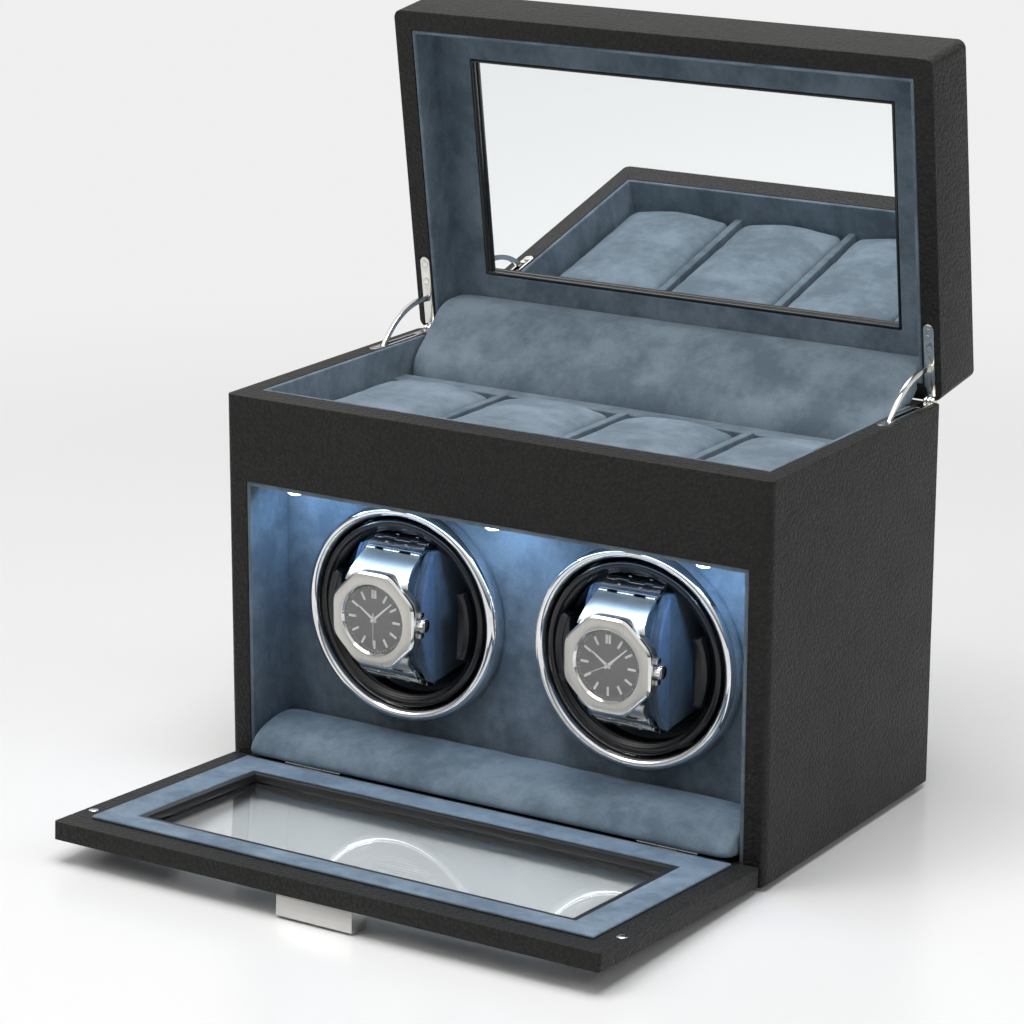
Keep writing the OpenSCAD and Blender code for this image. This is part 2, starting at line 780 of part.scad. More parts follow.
// The arm's arc, in [y, z] of the lid's closed frame: centre, radius and the
// polar angles of its start on the leaf and its end in the case
function stay_arc() =
    let (start = [-arm_start_s, lid_rim_t + leaf_thick / 2],
         rest_end = [arm_end_y - lid_pivot_y, -2],
         end = [rest_end[0] * cos(lid_open) - rest_end[1] * sin(lid_open),
                rest_end[0] * sin(lid_open) + rest_end[1] * cos(lid_open)],
         chord = end - start,
         length = norm(chord),
         inward = [-chord[1], chord[0]] / length,
         radius = (length * length / 4 + arm_bulge * arm_bulge) / (2 * arm_bulge),
         centre = (start + end) / 2 + inward * (radius - arm_bulge),
         half_angle = asin(length / 2 / radius),
         middle = atan2(-inward[1], -inward[0]))
    [centre, radius, middle - half_angle, middle + half_angle];

// ---------- door hinges ----------

module door_hinge_case_leaves() color("#b9bcc0") {
    for (side = [-1, 1]) {
        x0 = side * door_hinge_x - door_hinge_l / 2;
        third = door_hinge_l / 3;
        difference() {
            union() {
                box([x0, door_pivot_y, bay_floor_z - leaf_thick], [x0 + door_hinge_l, front_y + door_leaf_l, bay_floor_z]);
                translate([0, door_pivot_y, door_pivot_z]) rod_x(knuckle_r, x0, x0 + door_hinge_l);
            }
            translate([0, door_pivot_y, door_pivot_z]) rod_x(knuckle_r + gap, x0 + third - gap, x0 + 2 * third + gap);
        }
        translate([0, door_pivot_y, door_pivot_z]) rod_x(pin_r, x0, x0 + door_hinge_l);
    }
}

module door_hinge_door_leaves() color("#b9bcc0") door_place() {
    for (side = [-1, 1]) {
        x0 = side * door_hinge_x - door_hinge_l / 2;
        third = door_hinge_l / 3;
        difference() {
            union() {
                box([x0, -door_leaf_l, -leaf_thick], [x0 + door_hinge_l, -(knuckle_r + gap), 0]);
                box([x0 + third, -(knuckle_r + 1), -leaf_thick], [x0 + 2 * third, 0, 0]);
                rod_x(knuckle_r, x0 + third, x0 + 2 * third);
            }
            rod_x(pin_r + running_gap, x0 - 1, x0 + door_hinge_l + 1);
        }
    }
}

// ---------- lid ----------

module lid_shell() color("#2b2826") lid_place() {
    difference() {
        translate([0, -(lid_s0 + lid_s1) / 2, lid_rim_t]) rounded_slab(case_w, case_d, lid_h, lid_corner_r);
        lid_slab(lid_cavity_half, lid_s0 + lid_hinge_rim - lid_suede, lid_s1 - tray_side_wall, -1, lid_board_t1);
        for (side = [-1, 1]) {
            x = side * leaf_x;
            box([x - leaf_w / 2 - seam, -leaf_l - seam, -1], [x + leaf_w / 2 + seam, 1, lid_rim_t + leaf_thick + seam]);
            rod_x(knuckle_r + gap, x - leaf_w / 2 - seam, x + leaf_w / 2 + seam);
        }
    }
}

module lid_lining() color("#4d6685") lid_place() {
    half = lid_cavity_half - seam;
    s0 = lid_s0 + lid_hinge_rim - lid_suede + seam;
    s1 = lid_s1 - tray_side_wall - seam;
    difference() {
        lid_slab(half, s0, s1, lid_rim_t + seam, lid_board_t1 - seam);
        lid_slab(half - lid_suede, s0 + lid_suede, s1 - lid_suede, -1, lid_ceiling_t);
        lid_slab(mirror_w / 2, mirror_s0, mirror_s0 + mirror_h, 0, lid_board_t1 + 1);
    }
}

module mirror_frame() color("#0c0c0d") lid_place() {
    half = mirror_w / 2 - seam;
    s0 = mirror_s0 + seam;
    s1 = mirror_s0 + mirror_h - seam;
    difference() {
        lid_slab(half, s0, s1, lid_ceiling_t + 0.2, lid_board_t1 - mirror_thick - 2 * seam);
        lid_slab(half - mirror_frame_w, s0 + mirror_frame_w, s1 - mirror_frame_w, 0, lid_board_t1);
    }
}

module mirror() color("#c9d3da") lid_place() {
    lid_slab(mirror_w / 2 - seam, mirror_s0 + seam, mirror_s0 + mirror_h - seam,
             lid_board_t1 - mirror_thick - seam, lid_board_t1 - seam);
}

// ---------- door ----------

module door_shell() color("#2b2826") door_place() {
    difference() {
        translate([0, -(gap + door_l) / 2, -door_thick])
            rounded_slab(door_w, door_l - gap, door_thick, 1.5);
        door_slab(window_w / 2, window_start, window_s1, -1, door_thick + 1);
        for (side = [-1, 1]) {
            x0 = side * door_hinge_x - door_hinge_l / 2;
            box([x0 - seam, -door_leaf_l - seam, -leaf_thick - seam], [x0 + door_hinge_l + seam, 1, 1]);
            rod_x(knuckle_r + gap, x0 - seam, x0 + door_hinge_l + seam);
            translate([side * pin_x, -pin_s, -5.1]) cylinder(r = magnet_pin_r + seam, h = 6);
        }
    }
}

module door_suede_panel() color("#4d6685") door_place() {
    difference() {
        door_slab(door_panel_w / 2, door_panel_start, door_panel_start + door_panel_l, -door_panel_thick, -0.02);
        door_slab(window_w / 2, window_start, window_s1, -door_panel_thick - 1, 1);
    }
}

module window_frame() color("#101011") door_place() {
    half = window_w / 2 - seam;
    s0 = window_start + seam;
    s1 = window_s1 - seam;
    inset = window_frame_w;
    difference() {
        door_slab(half, s0, s1, -door_panel_thick + 0.6, door_thick - 0.4);
        door_slab(half - inset, s0 + inset, s1 - inset, -door_panel_thick - 1, door_thick + 1);
        door_slab(half - glass_groove, s0 + glass_groove, s1 - glass_groove, glass_t - seam, glass_t + glass_thick + seam);
    }
}

module door_glass() color("#cfe0ea", 0.3) door_place() {
    inset = glass_groove + 2 * seam;
    door_slab(window_w / 2 - inset, window_start + inset, window_s1 - inset, glass_t, glass_t + glass_thick);
}

module door_handle() color("#b8babb") door_place() {
    r = 1.4;
    s0 = handle_back_s;
    t0 = door_thick + 0.02;
    t1 = door_thick + handle_h;
    translate([-handle_w / 2, 0, 0]) rotate([90, 0, 90]) linear_extrude(handle_w) {
        translate([-door_l, -t1 + r]) square([door_l - s0, t1 - r - t0]);
        translate([-door_l + r, -t1]) square([door_l - s0 - 2 * r, r + eps]);
        for (y = [-door_l + r, -s0 - r]) translate([y, -t1 + r]) circle(r);
    }
}

module door_magnet_pins() color("#c8cacc") door_place() {
    for (side = [-1, 1]) translate([side * pin_x, -pin_s, -5]) cylinder(r = magnet_pin_r, h = 5.1);
}

// ---------- winders ----------

module chrome_ring(side) color("#d9dcdf") at_winder(side) {
    inner = ring_r - ring_w;
    nose_y = ring_front_y + ring_nose_r;
    rotate([90, 0, 0]) rotate_extrude($fn = 96) {
        translate([inner, -ring_back_y]) square([ring_w, ring_back_y - nose_y]);
        translate([inner + ring_nose_r, -nose_y]) circle(ring_nose_r);
    }
}

// Revolves a profile of [radius, y] points about the winder axis
module cup_revolve(points) {
    rotate([90, 0, 0]) rotate_extrude($fn = 96) polygon([for (p = points) [p[0], -p[1]]]);
}

module rotor_cup(side) color("#0d0d0e") at_winder(side) {
    lip = cup_lip_r;
    step = cup_front_y + 2;
    cup_revolve([
        [cup_r, cup_front_y],
        [cup_r, cup_back_y],
        [cup_boss_r, cup_back_y],
        [cup_boss_r, cup_back_y + 1.6],
        [0, cup_back_y + 1.6],
        [0, cup_back_y - cup_wall],
        [cup_inner_r, cup_back_y - cup_wall],
        [cup_inner_r, cup_front_y + 8],
        [lip, cup_front_y + 8],
        [lip, step + 1],
        [lip + 1, step],
        [cup_r - 2.2, step],
        [cup_r - 2.2, cup_front_y + 0.8],
        [cup_r - 1.4, cup_front_y]]);
}

module cup_lining(side) color("#4d6685") at_winder(side) {
    y0 = cup_front_y + 8.1;
    y1 = cup_back_y - cup_wall - 0.1;
    outer = cup_inner_r - 0.1;
    cup_revolve([[outer, y0], [outer, y1], [0, y1], [0, y1 - cup_suede], [lining_inner_r, y1 - cup_suede],
                 [lining_inner_r, y0]]);
}

// Oval outline of the pillow, in [y, z] about the pillow's centre
module pillow_outline(grow) {
    straight = pillow_h / 2 - pillow_r;
    for (z = [-straight, straight]) translate([0, z]) circle(pillow_r + grow, $fn = 96);
    square([2 * (pillow_r + grow), 2 * straight], center = true);
}

module at_pillow(side) {
    translate([side * winder_x, pillow_y, winder_z + watch_rise / 2]) children();
}

module pillow(side) color("#5f7894") at_pillow(side) {
    extrude_x(-pillow_w / 2, pillow_w / 2) pillow_outline(0);
}

// Spring cradle: an ear that grips each side of the cup, on an arm from
// each end of the pillow
module pillow_cradle(side) color("#0d0d0e") {
    ear_r = cup_lip_r - gap;
    ear_front = cup_front_y - 4;
    ear_back = pillow_y + ear_l / 2;
    at_winder(side) for (s = [0, 180]) rotate([0, s, 0]) {
        intersection() {
            difference() {
                rod_y(ear_r, ear_front, ear_back);
                rod_y(ear_r - cradle_thick, ear_front - 1, ear_back + 1);
            }
            box([5, ear_front - 1, -ear_half_h], [ear_r + 1, ear_back + 1, ear_half_h]);
        }
        box([pillow_w / 2, ear_back - arm_d, -arm_half_h], [ear_r - cradle_thick / 2, ear_back, arm_half_h]);
    }
}

// ---------- watches ----------

module watch(side) color("#c4c6c8") {
    at_pillow(side) {
        straight = pillow_h / 2 - pillow_r;
        band_w = bracelet_w - 4;
        extrude_x(-band_w / 2, band_w / 2) difference() {
            pillow_outline(gap + bracelet_thick * 0.55);
            pillow_outline(gap);
        }
        arc_links = floor(PI * strap_inner_r / link_l);
        for (end = [-1, 1], k = [0 : arc_links])
            let (a = -90 + 180 * k / arc_links)
                translate([0, 0, end * straight]) rotate([a + 90 - 90 * end, 0, 0]) bracelet_link(a);
    }
    at_winder(side) translate([0, 0, watch_rise]) watch_head();
}

// One link: a wide centre plate between two narrow outer plates
module bracelet_link(a) {
    taper = abs(a) > 60 ? 0 : 2;
    z0 = strap_inner_r + 0.3;
    z1 = strap_inner_r + bracelet_thick;
    for (x = [-1, 1])
        box([x > 0 ? bracelet_w / 2 - 6.5 - taper : -bracelet_w / 2 + taper, -link_l * 0.42, z0],
            [x > 0 ? bracelet_w / 2 - taper : -bracelet_w / 2 + 6.5 + taper, link_l * 0.42, z1]);
    box([-bracelet_w / 2 + 7.1, -link_l * 0.3, z0], [bracelet_w / 2 - 7.1, link_l * 0.3, z1 - 0.2]);
}

// Soft-cornered eight-sided outline
module soft_octagon(width, soft) {
    intersection() {
        rotate([0, 0, 22.5]) circle(d = width / cos(22.5), $fn = 8);
        circle(d = width + soft, $fn = 96);
    }
}

module watch_head() {
    y1 = watch_back_y;
    y0 = y1 - watch_thick;
    rotate([90, 0, 0]) translate([0, 0, -y1]) {
        difference() {
            union() {
                linear_extrude(watch_thick * 0.6) intersection() {
                    soft_octagon(watch_w + 1, 2);
                    square([watch_w + 1, watch_w + 1], center = true);
                }
                translate([0, 0, watch_thick * 0.6 - eps]) linear_extrude(watch_thick * 0.4) soft_octagon(watch_w - 1.5, 1.6);
                // Tapered shoulders that meet the bracelet
                for (turn = [0, 180]) rotate([0, 0, turn]) linear_extrude(watch_thick * 0.55) polygon([
                    [-shoulder_w / 2, 0], [-shoulder_w / 2, watch_w / 2 - 4], [-bracelet_w / 2, watch_w / 2 + 5],
                    [bracelet_w / 2, watch_w / 2 + 5], [shoulder_w / 2, watch_w / 2 - 4], [shoulder_w / 2, 0]]);
            }
            translate([0, 0, watch_thick - watch_recess]) cylinder(r = dial_r, h = watch_recess + 1, $fn = 96);
        }
        // Crown
        translate([watch_w / 2 - 0.5, 0, watch_thick * 0.38]) rotate([0, 90, 0]) cylinder(r = 2.6, h = 3.6, $fn = 24);
    }
}

module watch_dial(side) color("#3d3f40") at_winder(side) translate([0, 0, watch_rise]) {
    face_y = watch_back_y - watch_thick + watch_recess;
    rotate([90, 0, 0]) translate([0, 0, -face_y]) {
        cylinder(r = dial_r - 0.1, h = 0.4, $fn = 96);
        for (k = [0 : 11]) rotate([0, 0, k * 30])
            box([-mark_w / 2, dial_r - 5.2, 0.4 - eps], [mark_w / 2, dial_r - 1.4, 0.7]);
        hand(-hour_turn, dial_r * 0.55, 1.1, 0.4);
        hand(-minute_turn, dial_r * 0.8, 0.9, 0.6);
        cylinder(r = 0.9, h = 1.1);
    }
}

module hand(turn, length, width, height) {
    rotate([0, 0, turn]) box([-width / 2, 0, height - eps], [width / 2, length, height + 0.3]);
}

// ---------- cushions ----------

module cushion(k) color("#5f7894") {
    x = -tray_inner_half + (cushion_pitch - divider_thick) / 2 + (k - 1) * cushion_pitch;
    y = tray_front_y + cushion_bay_l / 2;
    crown_r = 90;
    translate([x, y, tray_floor_z + 0.2]) intersection() {
        rounded_slab(cushion_w, cushion_l, cushion_h, 4);
        translate([0, cushion_l / 2, cushion_h - crown_r]) rotate([90, 0, 0]) cylinder(r = crown_r, h = cushion_l, $fn = 128);
        translate([-cushion_w / 2, 0, cushion_h - 2 * crown_r]) rotate([0, 90, 0]) cylinder(r = 2 * crown_r, h = cushion_w, $fn = 128);
    }
}

// ---------- controls ----------

module power_switch() color("#141416") {
    translate([switch_x, back_y + 0.5, control_z]) rotate([rocker_tilt, 0, 0]) {
        rod_x(1.2, -rocker_w / 2 - 0.7, rocker_w / 2 + 0.7);
        extrude_x(-rocker_w / 2, rocker_w / 2) difference() {
            translate([-4, -rocker_h / 2]) square([6, rocker_h]);
            translate([2 + rocker_h, 0]) circle(rocker_h + 0.6, $fn = 96);
        }
    }
}

module mode_knob() color("#17171a") {
    translate([knob_x, 0, control_z]) {
        difference() {
            rod_y(knob_r, back_y + gap, back_y + 9);
            box([-0.6, back_y + 7.6, 2], [0.6, back_y + 10, knob_r + 1]);
        }
        rod_y(knob_shaft_r, back_cover_y - 7, back_y + gap + eps);
    }
}

// ---------- nodes ----------

case_shell();
shelf();
base_board();
base_felt();
back_cover();
back_cover_screws();
bay_lining();
bay_panel();
bay_floor_pad();
led_strip();
tray_lining();
tray_grid();
rear_flap_pad();
motor_plate();
bearing_bushes();
gear_motors();
control_board();
dc_socket();
keeper_magnets();
hinge_case_leaf(-1);  // hinge_case_leaf_left
hinge_case_leaf(1);  // hinge_case_leaf_right
door_hinge_case_leaves();
lid_shell();
lid_lining();
mirror_frame();
mirror();
hinge_lid_leaf(-1);  // hinge_lid_leaf_left
hinge_lid_leaf(1);  // hinge_lid_leaf_right
door_shell();
door_suede_panel();
window_frame();
door_glass();
door_handle();
door_magnet_pins();
door_hinge_door_leaves();
chrome_ring(-1);  // chrome_ring_left
rotor_cup(-1);  // rotor_cup_left
cup_lining(-1);  // cup_lining_left
drive_gear(-1);  // drive_gear_left
motor_pinion(-1);  // motor_pinion_left
pillow(-1);  // pillow_left
pillow_cradle(-1);  // pillow_cradle_left
watch(-1);  // watch_left
watch_dial(-1);  // watch_dial_left
chrome_ring(1);  // chrome_ring_right
rotor_cup(1);  // rotor_cup_right
cup_lining(1);  // cup_lining_right
drive_gear(1);  // drive_gear_right
motor_pinion(1);  // motor_pinion_right
pillow(1);  // pillow_right
pillow_cradle(1);  // pillow_cradle_right
watch(1);  // watch_right
watch_dial(1);  // watch_dial_right
cushion(1);  // cushion_1
cushion(2);  // cushion_2
cushion(3);  // cushion_3
cushion(4);  // cushion_4
power_switch();
mode_knob();
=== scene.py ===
# %% [markdown]
# # A watch winder box, one piece at a time
# The CAD model arrives as a fixed frame: every board, hinge, gear and screw is
# already in its place. Blender's share is what the eye reads as leather, suede,
# steel and light. Everything here is in metres, in the frame's own axes: X to
# the right, Y to the back, Z up, with the table at zero.

import json
import math

import bpy
from mathutils import Matrix, Vector, noise

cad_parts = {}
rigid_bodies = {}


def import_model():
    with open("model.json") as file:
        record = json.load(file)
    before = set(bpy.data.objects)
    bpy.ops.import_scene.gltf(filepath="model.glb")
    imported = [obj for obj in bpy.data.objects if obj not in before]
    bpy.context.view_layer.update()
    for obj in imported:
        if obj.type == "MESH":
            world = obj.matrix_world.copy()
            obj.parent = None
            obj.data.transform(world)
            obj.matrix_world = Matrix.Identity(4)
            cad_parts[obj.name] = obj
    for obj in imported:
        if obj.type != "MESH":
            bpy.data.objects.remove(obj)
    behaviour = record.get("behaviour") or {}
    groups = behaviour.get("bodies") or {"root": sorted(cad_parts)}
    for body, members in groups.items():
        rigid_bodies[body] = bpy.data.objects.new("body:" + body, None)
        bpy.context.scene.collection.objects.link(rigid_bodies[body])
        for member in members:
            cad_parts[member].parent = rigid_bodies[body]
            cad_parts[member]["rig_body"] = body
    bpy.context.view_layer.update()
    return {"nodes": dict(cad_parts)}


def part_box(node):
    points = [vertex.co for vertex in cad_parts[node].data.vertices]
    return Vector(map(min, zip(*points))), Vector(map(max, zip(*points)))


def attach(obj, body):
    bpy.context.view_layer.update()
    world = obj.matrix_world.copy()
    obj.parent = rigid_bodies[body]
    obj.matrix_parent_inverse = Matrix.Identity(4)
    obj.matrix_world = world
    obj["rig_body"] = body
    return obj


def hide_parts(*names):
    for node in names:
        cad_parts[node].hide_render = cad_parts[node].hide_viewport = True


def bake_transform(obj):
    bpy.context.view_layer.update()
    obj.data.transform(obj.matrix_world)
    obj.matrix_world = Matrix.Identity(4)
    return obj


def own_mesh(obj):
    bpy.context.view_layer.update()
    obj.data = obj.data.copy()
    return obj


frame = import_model()
MM = 0.001

# %% [markdown]
# ## Camera
# A box with long straight edges shows at once when the lens is wrong, so the
# camera is placed by numbers: a long lens, far away, higher than the open lid
# and well round to the right.

# %% Camera
CAMERA_PLACE = (0.81645, -1.35566, 0.57504)
CAMERA_TURN = (74.178, -0.140, 32.217)
LENS = 129.43

camera_data = bpy.data.cameras.new("studio_camera")
camera_data.lens = LENS
camera_data.sensor_width = 36.0
camera_data.clip_start = 0.05
camera_data.clip_end = 20.0
camera = bpy.data.objects.new("studio_camera", camera_data)
camera.location = CAMERA_PLACE
camera.rotation_euler = [math.radians(a) for a in CAMERA_TURN]
bpy.context.scene.collection.objects.link(camera)
bpy.context.scene.camera = camera
print("camera at", CAMERA_PLACE, "lens", LENS)

# %% [markdown]
# ## Light and backdrop
# Black leather has almost no colour of its own: its form is read from the soft
# glare of large lamps. So there are three wide soft lamps and a calm grey
# world. What the camera and the glass see behind the object is a separate,
# paler world, picked out with the Light Path node, so that the backdrop can
# be nearly white without any more light on the leather. Metal sees a third
# one, dark in front and bright overhead, because chrome that mirrors an even
# white room looks like white paint.

# %% World
BACKDROP = (0.865, 0.868, 0.866, 1.0)
AMBIENT = (0.50, 0.51, 0.53, 1.0)
STUDIO_DARK = (0.09, 0.095, 0.10, 1.0)
STUDIO_LIGHT = (0.95, 0.95, 0.94, 1.0)
AMBIENT_STRENGTH = 0.50
OVERHEAD_STOPS = (0.06, 0.55)

scene = bpy.context.scene
scene.view_settings.view_transform = "Standard"
world = bpy.data.worlds.new("studio_world")
scene.world = world
world.use_nodes = True
tree = world.node_tree
tree.nodes.clear()
path = tree.nodes.new("ShaderNodeLightPath")
seen = tree.nodes.new("ShaderNodeMath")
seen.operation = "MAXIMUM"
tree.links.new(path.outputs["Is Camera Ray"], seen.inputs[0])
tree.links.new(path.outputs["Is Transmission Ray"], seen.inputs[1])


def background(color, strength=1.0):
    made = tree.nodes.new("ShaderNodeBackground")
    made.inputs["Color"].default_value = color
    made.inputs["Strength"].default_value = strength
    return made


def choose(factor, first, second):
    made = tree.nodes.new("ShaderNodeMixShader")
    tree.links.new(factor, made.inputs[0])
    tree.links.new(first.outputs[0], made.inputs[1])
    tree.links.new(second.outputs[0], made.inputs[2])
    return made


direction = tree.nodes.new("ShaderNodeTexCoord")
split = tree.nodes.new("ShaderNodeSeparateXYZ")
tree.links.new(direction.outputs["Generated"], split.inputs[0])
overhead = tree.nodes.new("ShaderNodeValToRGB")
overhead_ends = overhead.color_ramp.elements
overhead_ends[0].position, overhead_ends[1].position = OVERHEAD_STOPS
overhead_ends[0].color, overhead_ends[1].color = STUDIO_DARK, STUDIO_LIGHT
tree.links.new(split.outputs["Z"], overhead.inputs[0])
mirrored = background(STUDIO_DARK)
tree.links.new(overhead.outputs["Color"], mirrored.inputs["Color"])
lit = background(AMBIENT, AMBIENT_STRENGTH)
shown = background(BACKDROP)
around = choose(path.outputs["Is Glossy Ray"], lit, mirrored)
whole = choose(seen.outputs[0], around, shown)
out = tree.nodes.new("ShaderNodeOutputWorld")
tree.links.new(whole.outputs[0], out.inputs["Surface"])


# %% Lamps
def soft_lamp(name, place, aim, size, watts, tint=(1.0, 1.0, 1.0)):
    """A square area lamp at a place, facing a point."""
    data = bpy.data.lights.new(name, "AREA")
    data.shape = "RECTANGLE"
    data.size, data.size_y = size
    data.energy = watts
    data.color = tint
    lamp = bpy.data.objects.new(name, data)
    lamp.location = place
    toward = Vector(aim) - Vector(place)
    lamp.rotation_euler = toward.to_track_quat("-Z", "Y").to_euler()
    scene.collection.objects.link(lamp)
    return lamp


BOX_MIDDLE = (0.0, 0.0, 0.12)
WARM = (1.0, 0.975, 0.945)
soft_lamp("key_lamp", (-1.3, -1.5, 1.9), BOX_MIDDLE, size=(1.4, 1.2), watts=15.0, tint=WARM)
soft_lamp("side_lamp", (1.9, 0.2, 1.1), BOX_MIDDLE, size=(1.2, 1.2), watts=7.5)
soft_lamp("top_lamp", (0.0, -0.22, 2.1), (0.0, 0.0, 0.1), size=(1.7, 1.4), watts=43.0)

# %% [markdown]
# ## Materials
# Each finish is a small node tree built in code. All patterns read Object
# coordinates, which never slide, because every finished piece has its place in
# its mesh and its object at the origin. A helper adds nodes and joins them, so
# that each finish reads as a short list.


# %% A small node kit
class Finish:
    """A material under construction: add nodes, link them, set its shader."""

    def __init__(self, name, color, roughness, metallic=0.0, **sockets):
        self.material = bpy.data.materials.new(name)
        self.material.use_nodes = True
        self.tree = self.material.node_tree
        self.shader = self.tree.nodes["Principled BSDF"]
        self.output = self.tree.nodes["Material Output"]
        self.put("Base Color", (*color, 1.0))
        self.put("Roughness", roughness)
        self.put("Metallic", metallic)
        for socket, value in sockets.items():
            self.put(socket.replace("_", " "), value)

    def put(self, socket, value):
        self.shader.inputs[socket].default_value = value

    def node(self, kind, inputs=(), **settings):
        made = self.tree.nodes.new("ShaderNode" + kind)
        for key, value in settings.items():
            setattr(made, key, value)
        for socket, value in dict(inputs).items():
            if isinstance(value, bpy.types.NodeSocket):
                self.tree.links.new(value, made.inputs[socket])
            else:
                made.inputs[socket].default_value = value
        return made

    def place(self, scale=(1.0, 1.0, 1.0)):
        """Object coordinates, stretched by scale."""
        source = self.node("TexCoord").outputs["Object"]
        return self.node("Mapping", {"Vector": source, "Scale": scale}).outputs[0]

    def noise(self, scale, detail=4.0, rough=0.55, where=None, stretch=(1, 1, 1)):
        where = where or self.place(stretch)
        made = self.node(
            "TexNoise",
            {"Vector": where, "Scale": scale, "Detail": detail, "Roughness": rough},
        )
        return made.outputs["Fac"]

    def ramp(self, value, low, high, stops=(0.0, 1.0)):
        made = self.node("ValToRGB", {"Fac": value})
        ends = made.color_ramp.elements
        ends[0].position, ends[1].position = stops
        ends[0].color, ends[1].color = (*low, 1.0), (*high, 1.0)
        return made.outputs["Color"]

    def spread(self, value, low, high):
        """Maps 0..1 to low..high."""
        return self.node(
            "MapRange", {"Value": value, "To Min": low, "To Max": high}
        ).outputs[0]

    def blend(self, factor, first, second, mode="MIX"):
        made = self.node("Mix", data_type="RGBA", blend_type=mode)
        for socket, value in ((0, factor), (6, first), (7, second)):
            if isinstance(value, bpy.types.NodeSocket):
                self.tree.links.new(value, made.inputs[socket])
            elif isinstance(value, tuple):
                made.inputs[socket].default_value = (*value, 1.0)
            else:
                made.inputs[socket].default_value = value
        return made.outputs[2]

    def relief(self, height, depth, strength=1.0, under=None):
        """Bump of a real depth in metres, on top of another relief."""
        made = self.node(
            "Bump", {"Height": height, "Distance": depth, "Strength": strength}
        )
        if under is not None:
            self.tree.links.new(under, made.inputs["Normal"])
        self.tree.links.new(made.outputs[0], self.shader.inputs["Normal"])
        return made.outputs[0]

    def glow_far(self, middle, near, far, color):
        """Mixes into a plain glow with the distance from a point on the object."""
        distance = self.node(
            "VectorMath", {0: self.place(), 1: middle}, operation="DISTANCE"
        ).outputs["Value"]
        factor = self.node(
            "MapRange",
            {"Value": distance, "From Min": near, "From Max": far},
            interpolation_type="SMOOTHSTEP",
        ).outputs[0]
        glow = self.node("Emission", {"Color": color, "Strength": 1.0}).outputs[0]
        mixed = self.node("MixShader", {0: factor, 1: self.shader.outputs[0], 2: glow}).outputs[0]
        self.tree.links.new(mixed, self.output.inputs["Surface"])

    def wire(self, value, socket):
        self.tree.links.new(value, self.shader.inputs[socket])


# %% [markdown]
# ### Leather
# The box is wrapped in black-brown pebbled leather. A pebble is a soft cushion
# with a fine crease round it, so a smooth Voronoi pattern gives the cushions
# and their height falls off into the creases. A noise that bends the pattern
# keeps the cells from looking like a honeycomb. The colour carries painted
# shade and light: the creases are painted darker and the crowns lighter, as
# shade and light would fall on them.


# %% Leather
PEBBLES, WRINKLES, PATCHES = 620.0, 900.0, 9.0
BEND = 0.0035


def leather(name, color):
    kit = Finish(name, color, 0.5, Specular_IOR_Level=0.26, Sheen_Weight=0.12, Sheen_Roughness=0.22)
    bend = kit.noise(190.0, 3.0)
    bent = kit.node("VectorMath", {0: bend, 1: (BEND,) * 3}, operation="MULTIPLY").outputs[0]
    where = kit.node("VectorMath", {0: kit.place(), 1: bent}, operation="ADD").outputs[0]
    cells = kit.node(
        "TexVoronoi",
        {"Vector": where, "Scale": PEBBLES, "Smoothness": 0.45, "Randomness": 0.95},
        feature="SMOOTH_F1",
    ).outputs["Distance"]
    pebble = kit.spread(cells, 1.0, 0.0)
    wrinkle = kit.noise(WRINKLES, 5.0, 0.6, where)
    crown = kit.relief(pebble, depth=0.00050, strength=0.80)
    kit.relief(wrinkle, depth=0.00016, strength=0.6, under=crown)
    # Painted shade and light: the creases are darkened and the crowns lightened in the base colour.
    crease = tuple(0.55 * c for c in color)
    top = tuple(1.20 * c for c in color)
    shade = kit.ramp(pebble, crease, top, (0.35, 0.85))
    patches = kit.ramp(kit.noise(PATCHES, 3.0), (0.86,) * 3, (1.12,) * 3, (0.3, 0.7))
    kit.wire(kit.blend(1.0, shade, patches, "MULTIPLY"), "Base Color")
    kit.wire(kit.spread(kit.noise(60.0, 4.0), 0.44, 0.60), "Roughness")
    return kit.material


LEATHER = leather("black_leather", (0.0145, 0.0143, 0.0130))

# %% [markdown]
# ### Suede
# Suede is a short brushed nap. It looks mottled because patches of the nap lie
# in different directions, and it glows at the edges because the fibre tips
# catch the light. So the colour is two tones mixed by stretched noise at two
# sizes, a very fine noise stands for the fibres, and the shader's sheen gives
# the glow.


# %% Suede
FIBRES = 3400.0
NAP_GLOW = (0.68, 0.80, 0.95, 1.0)


def suede(name, dark, light, mottle=42.0):
    kit = Finish(
        name,
        light,
        0.95,
        Specular_IOR_Level=0.10,
        Sheen_Weight=0.22,
        Sheen_Roughness=0.45,
        Sheen_Tint=NAP_GLOW,
    )
    broad = kit.noise(mottle, 5.0, 0.6, stretch=(1.0, 1.3, 0.8))
    small = kit.spread(kit.noise(mottle * 4.0, 4.0, 0.65), -0.20, 0.20)
    patch = kit.node("Math", {0: broad, 1: small}, operation="ADD").outputs[0]
    tone = kit.ramp(patch, dark, light, (0.37, 0.64))
    fibre = kit.noise(FIBRES, 3.0, 0.7)
    speck = kit.ramp(fibre, (0.78,) * 3, (1.22,) * 3, (0.3, 0.7))
    kit.wire(kit.blend(1.0, tone, speck, "MULTIPLY"), "Base Color")
    pile = kit.relief(fibre, depth=0.00020, strength=0.55)
    kit.relief(broad, depth=0.00060, strength=0.5, under=pile)
    return kit.material


